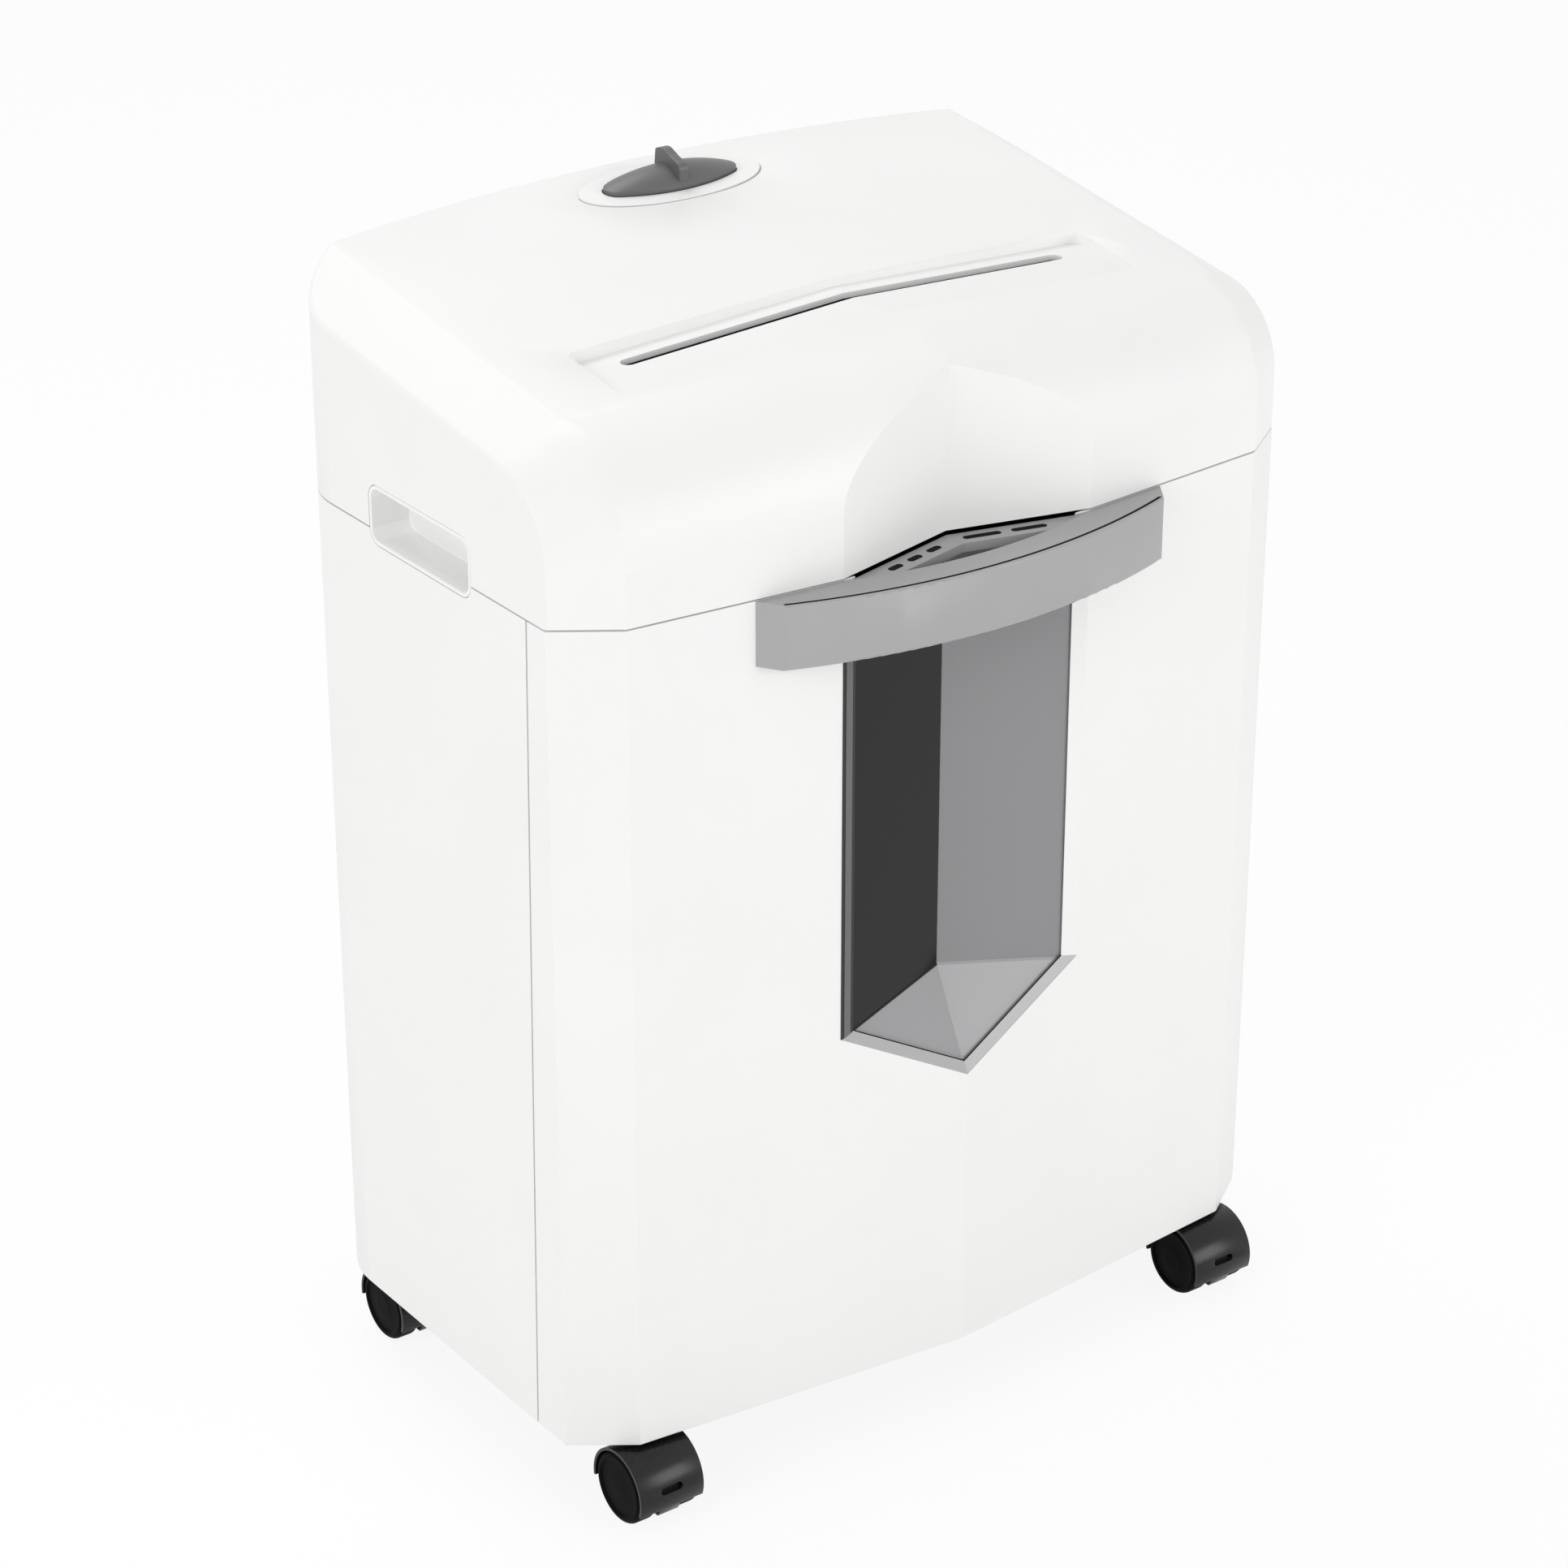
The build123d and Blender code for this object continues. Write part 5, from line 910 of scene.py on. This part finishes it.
@dataclass
class CuttingBlock(SubAssembly):
    """Two cutter shafts with their discs between plated side plates."""

    def finishes(self) -> dict[str, Finish]:
        """Lists the cutting block's nodes with their finishes."""
        return {
            "side_plate_left": PLATE_ZINC,
            "side_plate_right": PLATE_ZINC,
            "tie_rods": CUTTER_STEEL,
            "shaft_bushes": BUSH_BRONZE,
            "front_cutter_shaft": CUTTER_STEEL,
            "rear_cutter_shaft": CUTTER_STEEL,
            "front_cutter_discs": CUTTER_STEEL,
            "rear_cutter_discs": CUTTER_STEEL,
        }


@dataclass
class GearTrain(SubAssembly):
    """Gears from the motor pinion to the two cutter shafts, with their cover."""

    def finishes(self) -> dict[str, Finish]:
        """Lists the gear train's nodes with their finishes."""
        return {
            "front_sync_gear": CUTTER_STEEL,
            "rear_sync_gear": CUTTER_STEEL,
            "cutter_drive_gear": CUTTER_STEEL,
            "reduction_gear": GEAR_NYLON,
            "reduction_pin": CUTTER_STEEL,
            "gear_cover": INNER_BLACK,
        }


@dataclass
class Motor(SubAssembly):
    """Universal motor: stator, coils, armature, fan and brackets."""

    def finishes(self) -> dict[str, Finish]:
        """Lists the motor's nodes with their finishes."""
        return {
            "motor_stator": STATOR_STACK,
            "motor_coils": COIL_COPPER,
            "motor_rotor": CUTTER_STEEL,
            "motor_pinion": CUTTER_STEEL,
            "motor_fan": INNER_BLACK,
            "motor_brackets": PLATE_ZINC,
        }


@dataclass
class Electrics(SubAssembly):
    """Control board, bin interlock and cord gland."""

    gland_edge: float = 0.4

    def finishes(self) -> dict[str, Finish]:
        """Lists the electrical nodes with their finishes."""
        return {
            "control_board": BOARD_GREEN,
            "board_parts": INNER_BLACK,
            "interlock_switch": INNER_BLACK,
            "interlock_plunger": SWITCH_GREY,
            "cord_gland": HOOD_BLACK,
        }

    def edges_mm(self) -> dict[str, float]:
        """Lists the nodes whose edges are rounded, with the radius."""
        return {"cord_gland": self.gland_edge}


@dataclass
class CasterSet(SubAssembly):
    """Four hooded twin-wheel casters and the sleeves that hold their stems."""

    edge: float = 0.4
    corners: tuple[str, ...] = ("front_left", "front_right", "rear_left", "rear_right")

    def finishes(self) -> dict[str, Finish]:
        """Lists every caster node with its finish."""
        listed: dict[str, Finish] = {"caster_sockets": INNER_BLACK}
        for corner in self.corners:
            listed[f"caster_hood_{corner}"] = HOOD_BLACK
            listed[f"caster_pins_{corner}"] = CUTTER_STEEL
            for side in ("left", "right"):
                listed[f"caster_wheel_{corner}_{side}"] = WHEEL_SHADED_BLACK
        return listed

    def edges_mm(self) -> dict[str, float]:
        """Lists the nodes whose edges are rounded, with the radius."""
        return {name: self.edge for name in self.finishes() if "hood" in name or "wheel" in name}


@dataclass(frozen=True)
class Lamp:
    """Square soft box: where it stands round the target, its side and its power."""

    name: str
    azimuth_deg: float
    elevation_deg: float
    far_mm: float
    size_mm: float
    watts: float


@dataclass
class Studio:
    """Pale floor, soft lamps and the camera at the photograph's angle."""

    target_mm: tuple[float, float, float] = (0.17, 19.4, 256.5)
    azimuth_deg: float = -35.90
    elevation_deg: float = 25.83
    distance_mm: float = 1905.5
    lens_mm: float = 98.79
    sensor_mm: float = 36.0
    floor_mm: float = 30000.0
    floor_colour: str = "#FAFAFA"
    floor_roughness: float = 0.9
    floor_share: float = 0.9
    sky_strength: float = 0.55
    lamps: tuple[Lamp, ...] = (
        Lamp("key", -75.0, 24.0, 2600.0, 1200.0, 18.5),
        Lamp("front", 26.0, 14.0, 2800.0, 1300.0, 22.0),
        Lamp("top", 180.0, 62.0, 2400.0, 1400.0, 18.0),
    )

    def place(self, azimuth: float, elevation: float, distance_mm: float) -> Vector:
        """Gives a point round the target.

        Args:
            azimuth: Angle from the front in degrees, positive to the right.
            elevation: Angle above the floor in degrees.
            distance_mm: Distance from the target in millimetres.

        Returns:
            The point in metres.
        """
        a, e = radians(azimuth), radians(elevation)
        way = Vector((sin(a) * cos(e), -cos(a) * cos(e), sin(e)))
        return (Vector(self.target_mm) + way * distance_mm) * MM

    def add_camera(self) -> None:
        """Adds the camera and makes it the scene's own."""
        lens = bpy.data.cameras.new("camera")
        lens.lens = self.lens_mm
        lens.sensor_width = self.sensor_mm
        lens.sensor_height = self.sensor_mm
        lens.sensor_fit = "HORIZONTAL"
        camera = bpy.data.objects.new("camera", lens)
        camera.location = self.place(self.azimuth_deg, self.elevation_deg, self.distance_mm)
        aim = Vector(self.target_mm) * MM - camera.location
        camera.rotation_euler = aim.to_track_quat("-Z", "Y").to_euler()
        bpy.context.scene.collection.objects.link(camera)
        bpy.context.scene.camera = camera

    def add_lamp(self, lamp: Lamp) -> None:
        """Adds a square soft box that faces the object.

        Args:
            lamp: What the soft box is like and where it stands.
        """
        light = bpy.data.lights.new(lamp.name, "AREA")
        light.size = lamp.size_mm * MM
        light.energy = lamp.watts
        box = bpy.data.objects.new(lamp.name, light)
        box.location = self.place(lamp.azimuth_deg, lamp.elevation_deg, lamp.far_mm)
        aim = Vector(self.target_mm) * MM - box.location
        box.rotation_euler = aim.to_track_quat("-Z", "Y").to_euler()
        bpy.context.scene.collection.objects.link(box)

    def add_sky(self) -> None:
        """Fills the world: white to look at, softer as a light."""
        world = bpy.data.worlds.new("sky")
        world.use_nodes = True
        tree = world.node_tree
        level = add_node(
            tree,
            "ShaderNodeMapRange",
            {"Value": background_rays(tree), "To Min": self.sky_strength, "To Max": 1.0},
        )
        background = tree.nodes["Background"]
        background.inputs["Color"].default_value = linear(WHITE)
        tree.links.new(level.outputs["Result"], background.inputs["Strength"])
        bpy.context.scene.world = world

    def add_floor(self) -> None:
        """Lays a pale floor that shows white and keeps the object's soft shadow."""
        mesh = bpy.data.meshes.new("floor")
        ground = bmesh.new()
        bmesh.ops.create_grid(ground, x_segments=1, y_segments=1, size=self.floor_mm * MM / 2)
        ground.to_mesh(mesh)
        ground.free()
        floor = bpy.data.objects.new("floor", mesh)
        material, tree, shader = new_material("floor_white")
        shader.inputs["Base Color"].default_value = linear(self.floor_colour)
        shader.inputs["Roughness"].default_value = self.floor_roughness
        glow = add_node(tree, "ShaderNodeEmission", {"Color": linear(WHITE), "Strength": 1.0})
        share = add_node(
            tree,
            "ShaderNodeMath",
            {0: background_rays(tree), 1: self.floor_share},
            operation="MULTIPLY",
        )
        mix = add_node(
            tree,
            "ShaderNodeMixShader",
            {0: share.outputs[0], 1: shader.outputs[0], 2: glow.outputs[0]},
        )
        tree.links.new(mix.outputs[0], tree.nodes["Material Output"].inputs["Surface"])
        mesh.materials.append(material)
        bpy.context.scene.collection.objects.link(floor)

    def build(self) -> None:
        """Builds the whole studio."""
        self.add_camera()
        self.add_sky()
        self.add_floor()
        for lamp in self.lamps:
            self.add_lamp(lamp)
        bpy.context.scene.view_settings.view_transform = "Standard"


def main() -> None:
    """Builds and dresses every sub-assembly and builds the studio."""
    logging.basicConfig(level=logging.INFO)
    shop = Workshop()
    groups: list[SubAssembly] = [
        Case(),
        WasteBin(),
        SwitchSet(),
        PaperPath(),
        CuttingBlock(),
        GearTrain(),
        Motor(),
        Electrics(),
        CasterSet(),
    ]
    for group in groups:
        group.build(shop)
        group.dress(shop)
    Studio().build()


if __name__ == "__main__":
    main()
